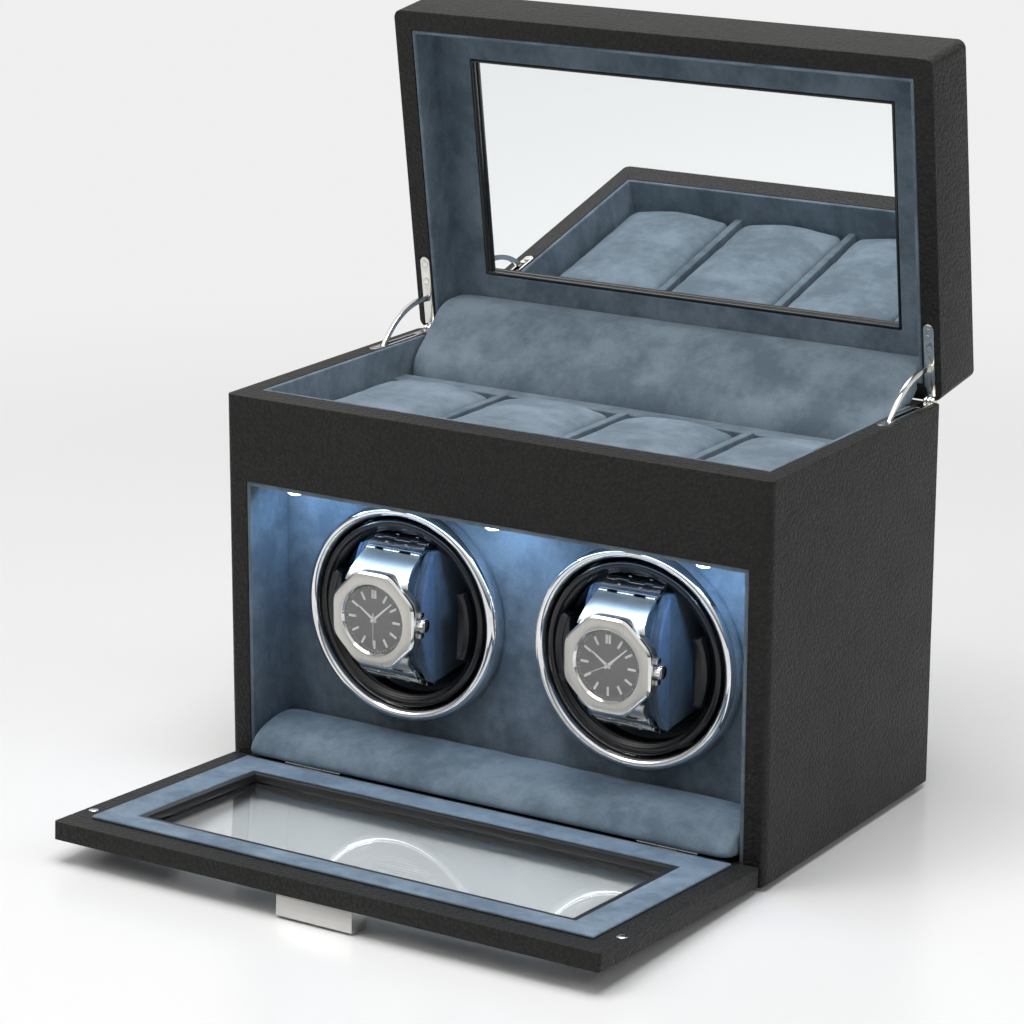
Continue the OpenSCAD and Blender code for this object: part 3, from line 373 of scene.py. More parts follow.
BAY_SUEDE = suede("bay_suede", (0.095, 0.124, 0.150), (0.170, 0.212, 0.250))
# Painted light: the same suede painted lighter, standing for the light from above on the rear flap and
# the bay floor pad.
SUEDE_PAINTED_LIT = suede("suede_painted_lit", (0.108, 0.146, 0.180), (0.188, 0.240, 0.285), 36.0)
# Painted light: the same suede painted lighter and bluer for the door's lining, standing for the light
# that falls on it.
DOOR_SUEDE_PAINTED_LIT = suede("door_suede", (0.118, 0.165, 0.218), (0.205, 0.268, 0.338), 36.0)
TRAY_SUEDE = suede("tray_suede", (0.095, 0.128, 0.158), (0.170, 0.218, 0.262))
# Painted light: the same suede painted lighter, standing for the top light on the cushions.
CUSHION_SUEDE_PAINTED_LIT = suede("cushion_suede", (0.130, 0.170, 0.206), (0.212, 0.268, 0.322), 34.0)
# Painted light: the pillow suede painted bluer, standing for the blue bay lamps' light on the pillow
# caps.
CAP_SUEDE_PAINTED_BLUE_LIGHT = suede("cap_suede_painted_blue_light", (0.078, 0.125, 0.205), (0.135, 0.205, 0.315), 40.0)
PILLOW_SUEDE = suede("pillow_suede", (0.080, 0.112, 0.150), (0.135, 0.180, 0.235), 40.0)

# %% [markdown]
# ### Metals, glass and plastics
# Metals differ mostly in how rough they are and in which direction they were
# rubbed. Chrome is a mirror, nickel a soft mirror, and brushed metal carries
# long fine scratches, which are a noise stretched far along one axis. The
# plastics keep a faint grain, and the gloss black of the cups is the
# smoothest of them.


# %% Metals
def metal(name, color, roughness, grain=0.0, stretch=(1, 1, 1), spread=0.08):
    kit = Finish(name, color, roughness, 1.0)
    streak = kit.noise(700.0, 3.0, 0.6, stretch=stretch)
    kit.wire(kit.spread(streak, max(0.02, roughness - spread), roughness + spread), "Roughness")
    if grain:
        kit.relief(streak, grain, 0.5)
    tint = kit.ramp(streak, tuple(0.90 * c for c in color), color, (0.25, 0.75))
    kit.wire(tint, "Base Color")
    return kit.material


CHROME = metal("chrome", (0.88, 0.88, 0.89), 0.05, spread=0.02)
NICKEL = metal("nickel", (0.74, 0.73, 0.70), 0.17, 0.00002, spread=0.05)
STEEL = metal("plated_steel", (0.56, 0.57, 0.58), 0.34, 0.00003)
BRUSHED = metal("brushed_handle", (0.66, 0.65, 0.63), 0.30, 0.00006, (0.02, 1.5, 1.5), 0.07)
WATCH_BRUSHED = metal("watch_brushed", (0.66, 0.64, 0.60), 0.34, 0.000012, (2.0, 1.0, 0.03), 0.05)
WATCH_POLISHED = metal("watch_polished", (0.82, 0.82, 0.81), 0.07, spread=0.03)
BRONZE = metal("bronze_bush", (0.52, 0.34, 0.16), 0.42, 0.00004)
MOTOR_CAN = metal("motor_can", (0.46, 0.47, 0.49), 0.36, 0.00003, (1, 0.05, 1))
MIRROR = Finish("silvered_mirror", (0.90, 0.92, 0.93), 0.01, 1.0).material


# %% Glass, plastics and the rest
def plastic(name, color, roughness, grain=0.00004, size=1600.0):
    kit = Finish(name, color, roughness)
    speckle = kit.noise(size, 3.0, 0.6)
    kit.relief(speckle, grain, 0.4)
    kit.wire(kit.spread(kit.noise(45.0), roughness * 0.85, roughness * 1.15), "Roughness")
    return kit.material


GLASS = Finish("clear_glass", (0.96, 0.985, 0.99), 0.0, Transmission_Weight=1.0, IOR=1.45).material
GLOSS_BLACK = plastic("gloss_black", (0.005, 0.005, 0.006), 0.24, grain=0.000005, size=400.0)
SATIN_BLACK = plastic("satin_black", (0.012, 0.012, 0.013), 0.42)
ACETAL = plastic("gear_acetal", (0.72, 0.69, 0.58), 0.45)
SOLDER_MASK = plastic("board_green", (0.02, 0.13, 0.06), 0.35)
LACQUER = plastic("base_lacquer", (0.010, 0.010, 0.010), 0.35)


def felt(name, color):
    kit = Finish(name, color, 1.0, Specular_IOR_Level=0.1, Sheen_Weight=0.2)
    fluff = kit.noise(1300.0, 6.0, 0.75)
    kit.relief(fluff, 0.0004, 0.8)
    kit.wire(kit.ramp(fluff, tuple(0.5 * c for c in color), tuple(1.6 * c for c in color)), "Base Color")
    return kit.material


def wood(name, dark, light):
    kit = Finish(name, light, 0.62)
    grain = kit.noise(60.0, 6.0, 0.65, stretch=(0.08, 1.0, 1.0))
    kit.wire(kit.ramp(grain, dark, light, (0.35, 0.65)), "Base Color")
    kit.relief(grain, 0.0002, 0.4)
    return kit.material


FELT = felt("base_felt", (0.018, 0.018, 0.020))
WOOD = wood("raw_board", (0.20, 0.13, 0.07), (0.36, 0.26, 0.16))
LAMP = Finish(
    "lamp_lens", (0.9, 0.95, 1.0), 0.3, Emission_Color=(0.80, 0.90, 1.0, 1.0), Emission_Strength=9.0
).material


# %% Finishes of the watches
RIBS = 420.0


def dial_finish(name, color):
    """A dark dial with fine upright ribs."""
    kit = Finish(name, color, roughness=0.38, metallic=0.35)
    ribs = kit.node(
        "TexWave",
        {"Vector": kit.place(), "Scale": RIBS, "Distortion": 0.0},
        wave_type="BANDS",
        bands_direction="X",
    ).outputs["Fac"]
    kit.relief(ribs, depth=0.00005, strength=0.5)
    kit.wire(kit.ramp(ribs, tuple(0.75 * c for c in color), tuple(1.2 * c for c in color)), "Base Color")
    return kit.material


# Painted shade: a near-black core under the bracelet links, so that the gaps between the rows read as
# shade.
LINK_GAP_SHADE = metal("strap_core_painted_shade", (0.05, 0.05, 0.055), 0.45)
DIAL_GREY = dial_finish("dial_grey", (0.060, 0.058, 0.055))
MARK_WHITE = plastic("mark_white", (0.80, 0.80, 0.77), 0.35)
STUD_STEEL = metal("stud_steel", (0.95, 0.95, 0.95), 0.22)
LINK_STEEL = metal("link_steel", (0.34, 0.36, 0.39), 0.27, 0.00001, (0.03, 1.0, 1.0), 0.05)
CRYSTAL = Finish("watch_crystal", (1.0, 1.0, 1.0), 0.02, Alpha=0.10, Specular_IOR_Level=0.5).material
print("materials:", len(bpy.data.materials))

# %% [markdown]
# ## The floor
# A plain pale sheet, faintly glossy, so that the box stands on a soft
# reflection of itself. Away from the box it turns into the backdrop's own
# colour, so no horizon shows.

# %% Floor
bpy.ops.mesh.primitive_plane_add(size=9.0, location=(0.0, 0.0, 0.0))
floor = bpy.context.active_object
floor.name = "floor"
FLOOR = Finish("pale_floor", (0.80, 0.80, 0.795), 0.22, Specular_IOR_Level=0.40)
FLOOR.wire(FLOOR.spread(FLOOR.noise(3.0), 0.18, 0.26), "Roughness")
FLOOR.glow_far((0.0, 0.0, 0.0), near=0.32, far=1.05, color=BACKDROP)
floor.data.materials.append(FLOOR.material)

# %% [markdown]
# ## Giving the CAD nodes their finish
# The hidden and mechanical nodes are right as they are and only need a
# finish. The list below gives them theirs. What shows soft edges, padding or
# fine detail is modelled in the later cells and replaces its node.


# %% Finishes of the CAD nodes
def coat(piece, *finishes):
    """Gives a piece these finishes and no others; its faces take the first."""
    piece.data.materials.clear()
    for finish in finishes:
        piece.data.materials.append(finish)


def dress(finish, *nodes):
    for node in nodes:
        coat(frame["nodes"][node], finish)


BOTH = ("left", "right")
dress(BAY_SUEDE, "cup_lining_left", "cup_lining_right")
dress(WOOD, "shelf")
dress(FELT, "base_felt")
dress(STEEL, "back_cover_screws", "motor_plate", "keeper_magnets")
dress(NICKEL, "door_hinge_case_leaves", "door_hinge_door_leaves")
dress(MIRROR, "mirror")
dress(GLASS, "door_glass")
dress(BRONZE, "bearing_bushes")
dress(MOTOR_CAN, "gear_motors")
dress(SOLDER_MASK, "control_board")
dress(ACETAL, *(a + "_" + b for a in ("drive_gear", "motor_pinion") for b in BOTH))

# %% [markdown]
# ## Working by hand, in code
# Every piece below starts from a primitive or from a merged copy of its CAD
# node, and is then shaped with the same operators a modeller uses: extrude,
# bevel, spin, inset. Operators act on whatever is selected, so `pick` clears
# the selection first, and `edges_where` selects edges by their place.


# %% Selection helpers
def pick(*pieces):
    """Selects just these objects, the last one active, in object mode."""
    if bpy.context.object and bpy.context.object.mode != "OBJECT":
        bpy.ops.object.mode_set(mode="OBJECT")
    bpy.ops.object.select_all(action="DESELECT")
    for piece in pieces:
        piece.select_set(True)
    bpy.context.view_layer.objects.active = pieces[-1]


def edit(piece, select="SELECT"):
    pick(piece)
    bpy.ops.object.mode_set(mode="EDIT")
    bpy.ops.mesh.select_mode(type="VERT")
    bpy.ops.mesh.select_all(action=select)


def leave():
    bpy.ops.object.mode_set(mode="OBJECT")


def edges_where(piece, wanted, steepest=0.85):
    """In object mode, selects the sharp edges whose two ends both pass."""
    pick(piece)
    mesh = piece.data
    faces = {}
    for polygon in mesh.polygons:
        for key in polygon.edge_keys:
            faces.setdefault(key, []).append(polygon.normal)
    bpy.ops.object.mode_set(mode="EDIT")
    bpy.ops.mesh.select_mode(type="EDGE")
    bpy.ops.mesh.select_all(action="DESELECT")
    bpy.ops.object.mode_set(mode="OBJECT")
    count = 0
    for edge in mesh.edges:
        sides = faces.get(edge.key, [])
        sharp = len(sides) == 2 and sides[0].dot(sides[1]) < steepest
        a, b = (mesh.vertices[i].co / MM for i in edge.vertices)
        if sharp and wanted(a, b):
            edge.select = True
            count += 1
    return count


def round_edges(piece, radius, wanted, segments=4):
    """Bevels the picked edges to a radius in millimetres."""
    count = edges_where(piece, wanted)
    bpy.ops.object.mode_set(mode="EDIT")
    bpy.ops.mesh.bevel(offset=radius * MM, segments=segments, affect="EDGES", clamp_overlap=True)
    leave()
    return count


def smooth(piece, angle=38.0):
    pick(piece)
    bpy.ops.object.shade_smooth_by_angle(angle=math.radians(angle))


def settle(piece):
    """Puts an object's place into its mesh, so that the object is at the origin."""
    pick(piece)
    bpy.ops.object.transform_apply(location=True, rotation=True, scale=True)


def apply_all(piece):
    pick(piece)
    for modifier in list(piece.modifiers):
        bpy.ops.object.modifier_apply(modifier=modifier.name)


def soften(piece, width, segments=3, angle=32.0):
    """A small radius on every sharp edge, as a Bevel modifier that is applied."""
    bevel = piece.modifiers.new("round", "BEVEL")
    bevel.width = width * MM
    bevel.segments = segments
    bevel.limit_method = "ANGLE"
    bevel.angle_limit = math.radians(angle)
    apply_all(piece)
    smooth(piece)


def outward(piece):
    edit(piece)
    bpy.ops.mesh.remove_doubles(threshold=0.000005)
    bpy.ops.mesh.normals_make_consistent(inside=False)
    leave()


def finish_piece(piece, name, finish, body, slot, *stands_for):
    """Names a piece, gives it its finish, and lets it ride on its body."""
    piece.name = name
    piece.data.name = name
    if finish is not None:
        coat(piece, finish)
    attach(piece, body)
    if stands_for:
        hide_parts(*stands_for)
    return piece


# %% [markdown]
# ### Merged copies
# A CAD node is a soup of loose triangles. A copy whose doubles are merged and
# whose flat regions are dissolved into single faces takes a bevel cleanly, so
# that leather, suede and metal get the small radius they have in life.


# %% Merged copies
def merged_copy(node):
    mesh = frame["nodes"][node].data.copy()
    piece = bpy.data.objects.new(node + "_copy", mesh)
    scene.collection.objects.link(piece)
    edit(piece)
    bpy.ops.mesh.customdata_custom_splitnormals_clear()
    bpy.ops.mesh.remove_doubles(threshold=0.00003)
    bpy.ops.mesh.dissolve_limited(angle_limit=math.radians(0.5))
    leave()
    return piece


def body_of(node):
    return frame["nodes"][node]["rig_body"]


def softened_node(node, width, finish, slot, segments=3):
    piece = merged_copy(node)
    soften(piece, width, segments)
    return finish_piece(piece, node + "_finished", finish, body_of(node), slot, node)


# %% Sizes that several pieces share
def box_mm(node):
    """The low and the high corner of a node's box, in millimetres."""
    return [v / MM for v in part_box(node)]


SHELL_LOW, SHELL_HIGH = box_mm("case_shell")
CASE_TOP = SHELL_HIGH.z
CASE_FRONT, CASE_BACK = SHELL_LOW.y, SHELL_HIGH.y
PIVOT_OUT, LID_PIVOT_UP, DOOR_PIVOT_Z = 0.3, 0.15, 11.2
LID_PIVOT = Vector((0.0, CASE_BACK + PIVOT_OUT, CASE_TOP + LID_PIVOT_UP))
LID_ANGLE = math.radians(-82.1)
DOOR_PIVOT = Vector((0.0, CASE_FRONT - PIVOT_OUT, DOOR_PIVOT_Z))
DOOR_ANGLE = math.radians(-3.2)
TO_LID = Matrix.Translation(LID_PIVOT * MM) @ Matrix.Rotation(LID_ANGLE, 4, "X")
TO_DOOR = Matrix.Translation(DOOR_PIVOT * MM) @ Matrix.Rotation(DOOR_ANGLE, 4, "X")
print("case top", round(CASE_TOP, 2), "front", CASE_FRONT, "back", CASE_BACK)

# %% [markdown]
# ## The leather shells
# Leather wrapped round a board can't make a knife edge: it turns over in a
# radius of a millimetre or two. The long edges of the three shells are picked
# by place and rounded, and the fine cut-outs under the hinges keep their CAD
# shape.


# %% Case shell
NEAR = 0.05
OUTER_BAND = 3.05
BAY_HALF = 128.0
LONG_EDGE = 20.0


def case_edge(a, b):
    """The outer edges at top and foot, and the long edges round the bay."""
    top = min(a.z, b.z) > CASE_TOP - NEAR
    foot = max(a.z, b.z) < SHELL_LOW.z + NEAR
    side_x, back_y = SHELL_HIGH.x - OUTER_BAND, CASE_BACK - OUTER_BAND
    outer = all(abs(p.x) > side_x or abs(p.y) > back_y for p in (a, b))
    front = max(a.y, b.y) < CASE_FRONT + NEAR
    bay = front and max(abs(a.x), abs(b.x)) < BAY_HALF and (a - b).length > LONG_EDGE
    return (top or foot) and outer or bay


case_leather = merged_copy("case_shell")
rounded = round_edges(case_leather, 1.1, case_edge)
smooth(case_leather, 40)
finish_piece(case_leather, "case_leather", LEATHER, "case", "leather", "case_shell")
print("case edges rounded:", rounded)


# %% Lid shell
LID_SIDE = 133.9
LID_REAR, LID_FRONT = 4.35, 152.2
LID_RIM, LID_TOP = 0.2, 33.0


def in_lid(p):
    """A point in the lid's closed frame, as (x, s, t) in millimetres."""
    q = TO_LID.inverted() @ (p * MM) / MM
    return q.x, -q.y, q.z


def lid_edge(a, b):
    """The outer edges of the lid's top and of its rim."""
    (xa, sa, ta), (xb, sb, tb) = in_lid(a), in_lid(b)
    outer = all(abs(x) > LID_SIDE or s < LID_REAR or s > LID_FRONT for x, s in ((xa, sa), (xb, sb)))
    return outer and (min(ta, tb) > LID_TOP or max(ta, tb) < LID_RIM)


lid_leather = merged_copy("lid_shell")
rounded = round_edges(lid_leather, 1.8, lid_edge, 5)
smooth(lid_leather, 40)
finish_piece(lid_leather, "lid_leather", LEATHER, "lid", "leather", "lid_shell")
print("lid edges rounded:", rounded)


# %% Door shell
DOOR_SIDE, DOOR_FRONT = 134.4, 129.4
LEVEL = 0.1


def in_door(p):
    """A point in the door's level frame, as (x, s, t) in millimetres."""
    q = TO_DOOR.inverted() @ (p * MM) / MM
    return q.x, -q.y, -q.z


def door_edge(a, b):
    """The edges that run round the door's outside, and none that cross its thickness."""
    (xa, sa, ta), (xb, sb, tb) = in_door(a), in_door(b)
    rim = all(abs(x) > DOOR_SIDE or s > DOOR_FRONT for x, s in ((xa, sa), (xb, sb)))
    return rim and abs(ta - tb) < LEVEL


door_leather = merged_copy("door_shell")
rounded = round_edges(door_leather, 1.5, door_edge)
smooth(door_leather, 40)
finish_piece(door_leather, "door_leather", LEATHER, "door", "leather", "door_shell")
print("door edges rounded:", rounded)

# %% [markdown]
# ## Suede linings and small hard pieces
# The linings are suede glued over card, so their edges are soft, and the
# black frames, the handle and the hinge leaves are small castings or
# stampings. They all keep their CAD shape and get a radius of their own.

# %% Softened nodes
softened_node("bay_lining", 0.55, BAY_SUEDE, "bay_suede")
softened_node("bay_panel", 0.8, BAY_SUEDE, "bay_suede")
softened_node("tray_lining", 0.7, TRAY_SUEDE, "suede")
softened_node("tray_grid", 1.5, TRAY_SUEDE, "suede", 4)
softened_node("lid_lining", 0.8, TRAY_SUEDE, "suede")
softened_node("door_suede_panel", 0.65, DOOR_SUEDE_PAINTED_LIT, "suede")
softened_node("window_frame", 0.3, SATIN_BLACK, "black_plastic", 2)
softened_node("mirror_frame", 0.5, GLOSS_BLACK, "gloss_black", 2)
softened_node("door_handle", 0.35, BRUSHED, "brushed_metal", 2)
softened_node("door_magnet_pins", 0.7, CHROME, "nickel", 4)
for side in BOTH:
    softened_node("hinge_lid_leaf_" + side, 0.18, NICKEL, "nickel", 2)
    softened_node("hinge_case_leaf_" + side, 0.18, NICKEL, "nickel", 2)
    softened_node("pillow_cradle_" + side, 1.0, GLOSS_BLACK, "gloss_black", 4)
smooth(softened_node("back_cover", 0.35, SATIN_BLACK, "black_plastic", 2), 12)
softened_node("mode_knob", 0.5, SATIN_BLACK, "black_plastic", 3)
softened_node("power_switch", 0.4, SATIN_BLACK, "black_plastic", 2)
softened_node("dc_socket", 0.2, SATIN_BLACK, "black_plastic", 2)
softened_node("base_board", 0.4, LACQUER, "black_board", 2)

# %% [markdown]
# ## Soft pads
# The floor pad of the bay and the flap behind the tray are suede laid over
# foam: the same section runs from end to end and closes in a soft round at
# both ends. `pad_loft` lays a ring of points in the YZ plane, extrudes it
# across in steps, and scales the last steps about the pad's spine. One
# subdivision surface then turns the coarse section into a smooth roll.


# %% Lofted pads
END_STEPS = ((0.0, 0.80), (2.2, 0.93), (5.0, 0.985), (9.5, 1.0))
SPAN_STEP = 14.0


def point_ring(points, fill="NOTHING"):
    """A ring with one vertex on each point (mm), in turn."""
    bpy.ops.object.select_all(action="DESELECT")
    bpy.ops.mesh.primitive_circle_add(vertices=len(points), radius=1.0, fill_type=fill)
    ring = bpy.context.object
    for vertex, point in zip(ring.data.vertices, points):
        vertex.co = Vector(point) * MM
    return ring


def loft(name, section, stations, spine, levels=2):
    """A closed skin: the YZ section (mm, in turn) at each (x, size), scaled about the spine."""
    sy, sz = spine
    x0, size0 = stations[0]
    pad = point_ring([(x0, sy + (y - sy) * size0, sz + (z - sz) * size0) for y, z in section])
    edit(pad)
    bpy.ops.mesh.edge_face_add()
    for (xa, a), (xb, b) in zip(stations, stations[1:]):
        bpy.ops.mesh.extrude_region_move(TRANSFORM_OT_translate={"value": ((xb - xa) * MM, 0, 0)})
        bpy.ops.transform.resize(value=(1.0, b / a, b / a), center_override=(0.0, sy * MM, sz * MM))
    leave()
    outward(pad)
    if levels:
        surface = pad.modifiers.new("smooth", "SUBSURF")
        surface.levels = surface.render_levels = levels
        apply_all(pad)
    pad.name = name
    return pad


def pad_loft(name, section, half_w, spine):
    """A roll of one section across the width, closed in a soft round at both ends."""
    first, last = -half_w + END_STEPS[-1][0], half_w - END_STEPS[-1][0]
    middle = int((last - first) / SPAN_STEP)
    stations = [(-half_w + off, size) for off, size in END_STEPS]
    stations += [(first + (last - first) * k / middle, 1.0) for k in range(1, middle)]
    stations += [(half_w - off, size) for off, size in reversed(END_STEPS)]
    return loft(name, section, stations, spine)


def crumple(piece, depth, size, seed=0.0, hold=None):
    """Low, slow waves of suede over foam, along each vertex's normal, in mm."""
    mesh = piece.data
    moves = []
    for vertex in mesh.vertices:
        place = vertex.co / MM / size + Vector((seed, 0.0, 0.0))
        wave = noise.noise(place) + 0.5 * noise.noise(place * 2.3)
        share = 1.0 if hold is None else hold(vertex.co / MM)
        moves.append(vertex.normal * wave * depth * share * MM)
    for vertex, move in zip(mesh.vertices, moves):
        vertex.co += move
    mesh.update()


# %% Bay floor pad
PANEL_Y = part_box("bay_panel")[0].y / MM
FLOOR_Z = 11.2
PAD_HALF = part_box("bay_floor_pad")[1].x / MM - 0.3
PAD_SECTION = (
    (PANEL_Y - 0.2, FLOOR_Z + 0.3),
    (PANEL_Y - 0.2, FLOOR_Z + 8.0),
    (PANEL_Y - 0.4, FLOOR_Z + 15.4),
    (PANEL_Y - 6.0, FLOOR_Z + 16.8),
    (PANEL_Y - 15.0, FLOOR_Z + 16.6),
    (PANEL_Y - 24.0, FLOOR_Z + 14.8),
    (PANEL_Y - 31.5, FLOOR_Z + 11.3),
    (PANEL_Y - 36.2, FLOOR_Z + 6.4),
    (PANEL_Y - 36.6, FLOOR_Z + 3.4),
    (PANEL_Y - 34.0, FLOOR_Z + 2.6),
    (PANEL_Y - 28.5, FLOOR_Z + 2.4),
    (PANEL_Y - 26.0, FLOOR_Z + 0.3),
    (PANEL_Y - 14.0, FLOOR_Z + 0.3),
)
floor_pad = pad_loft("bay_floor_bolster", PAD_SECTION, PAD_HALF, (PANEL_Y - 18.0, FLOOR_Z + 6.0))
crumple(
    floor_pad, depth=0.55, size=26.0, seed=3.1,
    hold=lambda p: min(1.0, max(0.0, (p.z - FLOOR_Z - 4.0) / 6.0)),
)
smooth(floor_pad, 60)
finish_piece(floor_pad, "bay_floor_bolster", SUEDE_PAINTED_LIT, "case", "bay_suede", "bay_floor_pad")
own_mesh(floor_pad)
print("floor pad reaches forward to", round(min(v.co.y for v in floor_pad.data.vertices) / MM, 1))

# %% [markdown]
# ### Rear flap
# Behind the tray the suede climbs over a roll of foam and runs on into the
# lid, so it hides the gap at the hinges. In the box its front end is fixed to
# the case and its rear end to the lid; here it is one skin in the pose shown,
# attached to neither, and it does not fold.

# %% Rear flap
REAR_LOW, REAR_HIGH = box_mm("rear_flap_pad")
LEDGE_TOP = REAR_LOW.z
WALL_LOW = Vector((77.1, 191.1))
WALL_HIGH = Vector((94.5, 193.5))
FLAP_SECTION = (
    (REAR_LOW.y + 0.2, LEDGE_TOP + 0.2),
    (REAR_LOW.y + 0.1, LEDGE_TOP + 7.0),
    (REAR_LOW.y + 0.5, LEDGE_TOP + 14.0),
    (REAR_LOW.y + 2.0, LEDGE_TOP + 19.8),
    (REAR_LOW.y + 6.0, LEDGE_TOP + 25.8),
    (REAR_LOW.y + 13.5, LEDGE_TOP + 29.8),
    (WALL_LOW.x, WALL_LOW.y + 2.9),
    (86.0, 194.9),
    (WALL_HIGH.x - 0.2, WALL_HIGH.y + 1.5),
    (WALL_HIGH.x - 0.2, WALL_HIGH.y + 0.3),
    (86.0, 192.7),
    (WALL_LOW.x - 0.4, WALL_LOW.y + 0.5),
    (REAR_HIGH.y + 3.0, LEDGE_TOP + 22.0),
    (REAR_HIGH.y - 0.4, LEDGE_TOP + 14.0),
    (REAR_HIGH.y - 0.3, LEDGE_TOP + 0.2),
)
flap = pad_loft("rear_flap", FLAP_SECTION, REAR_HIGH.x - 0.4, (68.0, 184.0))
crumple(flap, depth=0.5, size=24.0, seed=8.3, hold=lambda p: 1.0 if p.y < 70 else 0.25)
smooth(flap, 60)
coat(flap, SUEDE_PAINTED_LIT)
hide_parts("rear_flap_pad")
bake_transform(flap)
print("flap vertices:", len(flap.data.vertices))

# %% [markdown]
# ### Cushions and pillows
# A cushion starts as a cube with the CAD solid's box, a little smaller. It is
# divided evenly, remeshed, and blown up by the Cloth solver, with a cap on
# how far a point may move. One subdivision smooths the result. All four are
# alike, so one form is blown up, copied four times and then deleted.

# %% Swelling by simulation
SIM_END = 20


def swell(piece, voxel, pressure, cap):
    """Voxel remesh, then Cloth with pressure; each point moves at most cap mm."""
    pick(piece)
    remesh = piece.modifiers.new("voxels", "REMESH")
    remesh.mode = "VOXEL"
    remesh.voxel_size = voxel * MM
    apply_all(piece)
    before = [vertex.co.copy() for vertex in piece.data.vertices]
    cloth = piece.modifiers.new("swell", "CLOTH")
    cloth.settings.use_pressure = True
    cloth.settings.uniform_pressure_force = pressure
    cloth.settings.effector_weights.gravity = 0.0
    cloth.settings.quality = 6
    cloth.point_cache.frame_start = 1
    cloth.point_cache.frame_end = SIM_END
    for step in range(1, SIM_END + 1):
        scene.frame_set(step)
    apply_all(piece)
    scene.frame_set(1)
    for vertex, start in zip(piece.data.vertices, before):
        move = vertex.co - start
        if move.length > cap * MM:
            vertex.co = start + move.normalized() * cap * MM
    piece.data.update()


def box_piece(name, low, high):
    bpy.ops.object.select_all(action="DESELECT")
    centre = (low + high) / 2
    bpy.ops.mesh.primitive_cube_add(size=1.0, location=centre * MM)
    piece = bpy.context.object
    piece.scale = (high - low) * MM
    settle(piece)
    piece.name = name
    return piece


def joined(name, pieces):
    pick(*pieces)
    bpy.ops.object.join()
    piece = bpy.context.object
    piece.name = name
    return piece


def small_block(name, size, radius, segments=2):
    """A cube of a size in mm about the origin, with its edges rounded."""
    half = Vector(size) / 2
    piece = box_piece(name, -half, half)
    edit(piece)
    bpy.ops.mesh.bevel(offset=radius * MM, segments=segments, affect="EDGES")
    leave()
    return piece


def put(piece, matrix):
    """Moves a piece that is modelled about the origin to its place."""
    piece.matrix_world = matrix @ piece.matrix_world
    settle(piece)
    return piece


# %% Tray cushions
CUSHIONS = 4
TRAY_FIT = 0.9
REAR_GAP = 3.0
TOP_GAP = 1.4
CUSHION_ROUND = 5.0
CROWN_RISE, EDGE_DROP, END_DROP = 4.6, 3.4, 2.4
cushion_low, cushion_high = box_mm("cushion_1")
shrink = Vector((TRAY_FIT, TRAY_FIT, 0.0))
form_high = cushion_high - shrink - Vector((0, REAR_GAP, TOP_GAP))
cushion = box_piece("cushion_form", cushion_low + shrink, form_high)
edit(cushion)
bpy.ops.mesh.bevel(offset=CUSHION_ROUND * MM, segments=4, affect="EDGES")
bpy.ops.mesh.select_all(action="SELECT")
bpy.ops.mesh.subdivide(number_cuts=9, smoothness=0.0)
leave()
mid = (cushion_low + cushion_high) / 2
half = (cushion_high - cushion_low) / 2
for vertex in cushion.data.vertices:
    p = vertex.co / MM
    if p.z > mid.z:
        across = (p.x - mid.x) / half.x
        along = (p.y - mid.y) / half.y
        rise = CROWN_RISE * (1 - across ** 2) - EDGE_DROP - END_DROP * abs(along) ** 5
        vertex.co.z += rise * MM * (p.z - mid.z) / half.z
cushion.data.update()
swell(cushion, voxel=3.2, pressure=3.0, cap=1.4)
surface = cushion.modifiers.new("smooth", "SUBSURF")
surface.levels = surface.render_levels = 1
apply_all(cushion)
crumple(cushion, depth=0.35, size=16.0, seed=5.0)
top = max(v.co.z for v in cushion.data.vertices) / MM
print("cushion crown", round(top, 2), "allowed", round(cushion_high.z, 2))
pitch = (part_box("cushion_2")[0].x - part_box("cushion_1")[0].x) / MM
for k in range(CUSHIONS):
    copy = cushion.copy()
    copy.data = cushion.data.copy()
    scene.collection.objects.link(copy)
    copy.location.x = pitch * k * MM
    settle(copy)
    for vertex in copy.data.vertices:
        vertex.co.z = min(vertex.co.z, cushion_high.z * MM)
    smooth(copy, 70)
    node = "cushion_" + str(k + 1)
    finish_piece(copy, "tray_" + node, CUSHION_SUEDE_PAINTED_LIT, node, "cushion_suede", node)
pick(cushion)
bpy.ops.object.delete()

# %% [markdown]
# ### Winder pillows
# The pillow is a stadium where the strap lies round it. At each end a
# D-shaped cap stands a little proud, with a groove for its seam round the
# edge, and a side panel runs back from its straight edge into the cup. The
# caps' suede is painted bluer, standing for the blue bay light that falls on
# them.

# %% Winder pillows
LEVEL_SINE = 0.01


def stadium(centre, depth, height, count):
    """An upright stadium in the YZ plane: two half circles joined by straight sides."""
    cy, cz = centre
    radius = depth / 2
    straight = height / 2 - radius
    points = []
    for k in range(count):
        a = 2 * math.pi * k / count
        lift = 0.0
        if abs(math.sin(a)) > LEVEL_SINE:
            lift = math.copysign(straight, math.sin(a))
        points.append((cy + radius * math.cos(a), cz + radius * math.sin(a) + lift))
    return points


CORE_HALF = 15.4
CAP_DEPTH = 10.5
SEAM_X, CAP_X, PANEL_X = 18.2, 19.9, 18.9
BACK_TAPER = 3.0
CORE_OVERLAP, FACE_OVERLAP = 0.8, 0.5
CORE_DEPTH_ROOM, CORE_HEIGHT_ROOM = 0.4, 0.6
CORE_EDGE, CAP_EDGE, FACE_EDGE, PANEL_EDGE = 0.6, 1.1, 0.75, 0.8


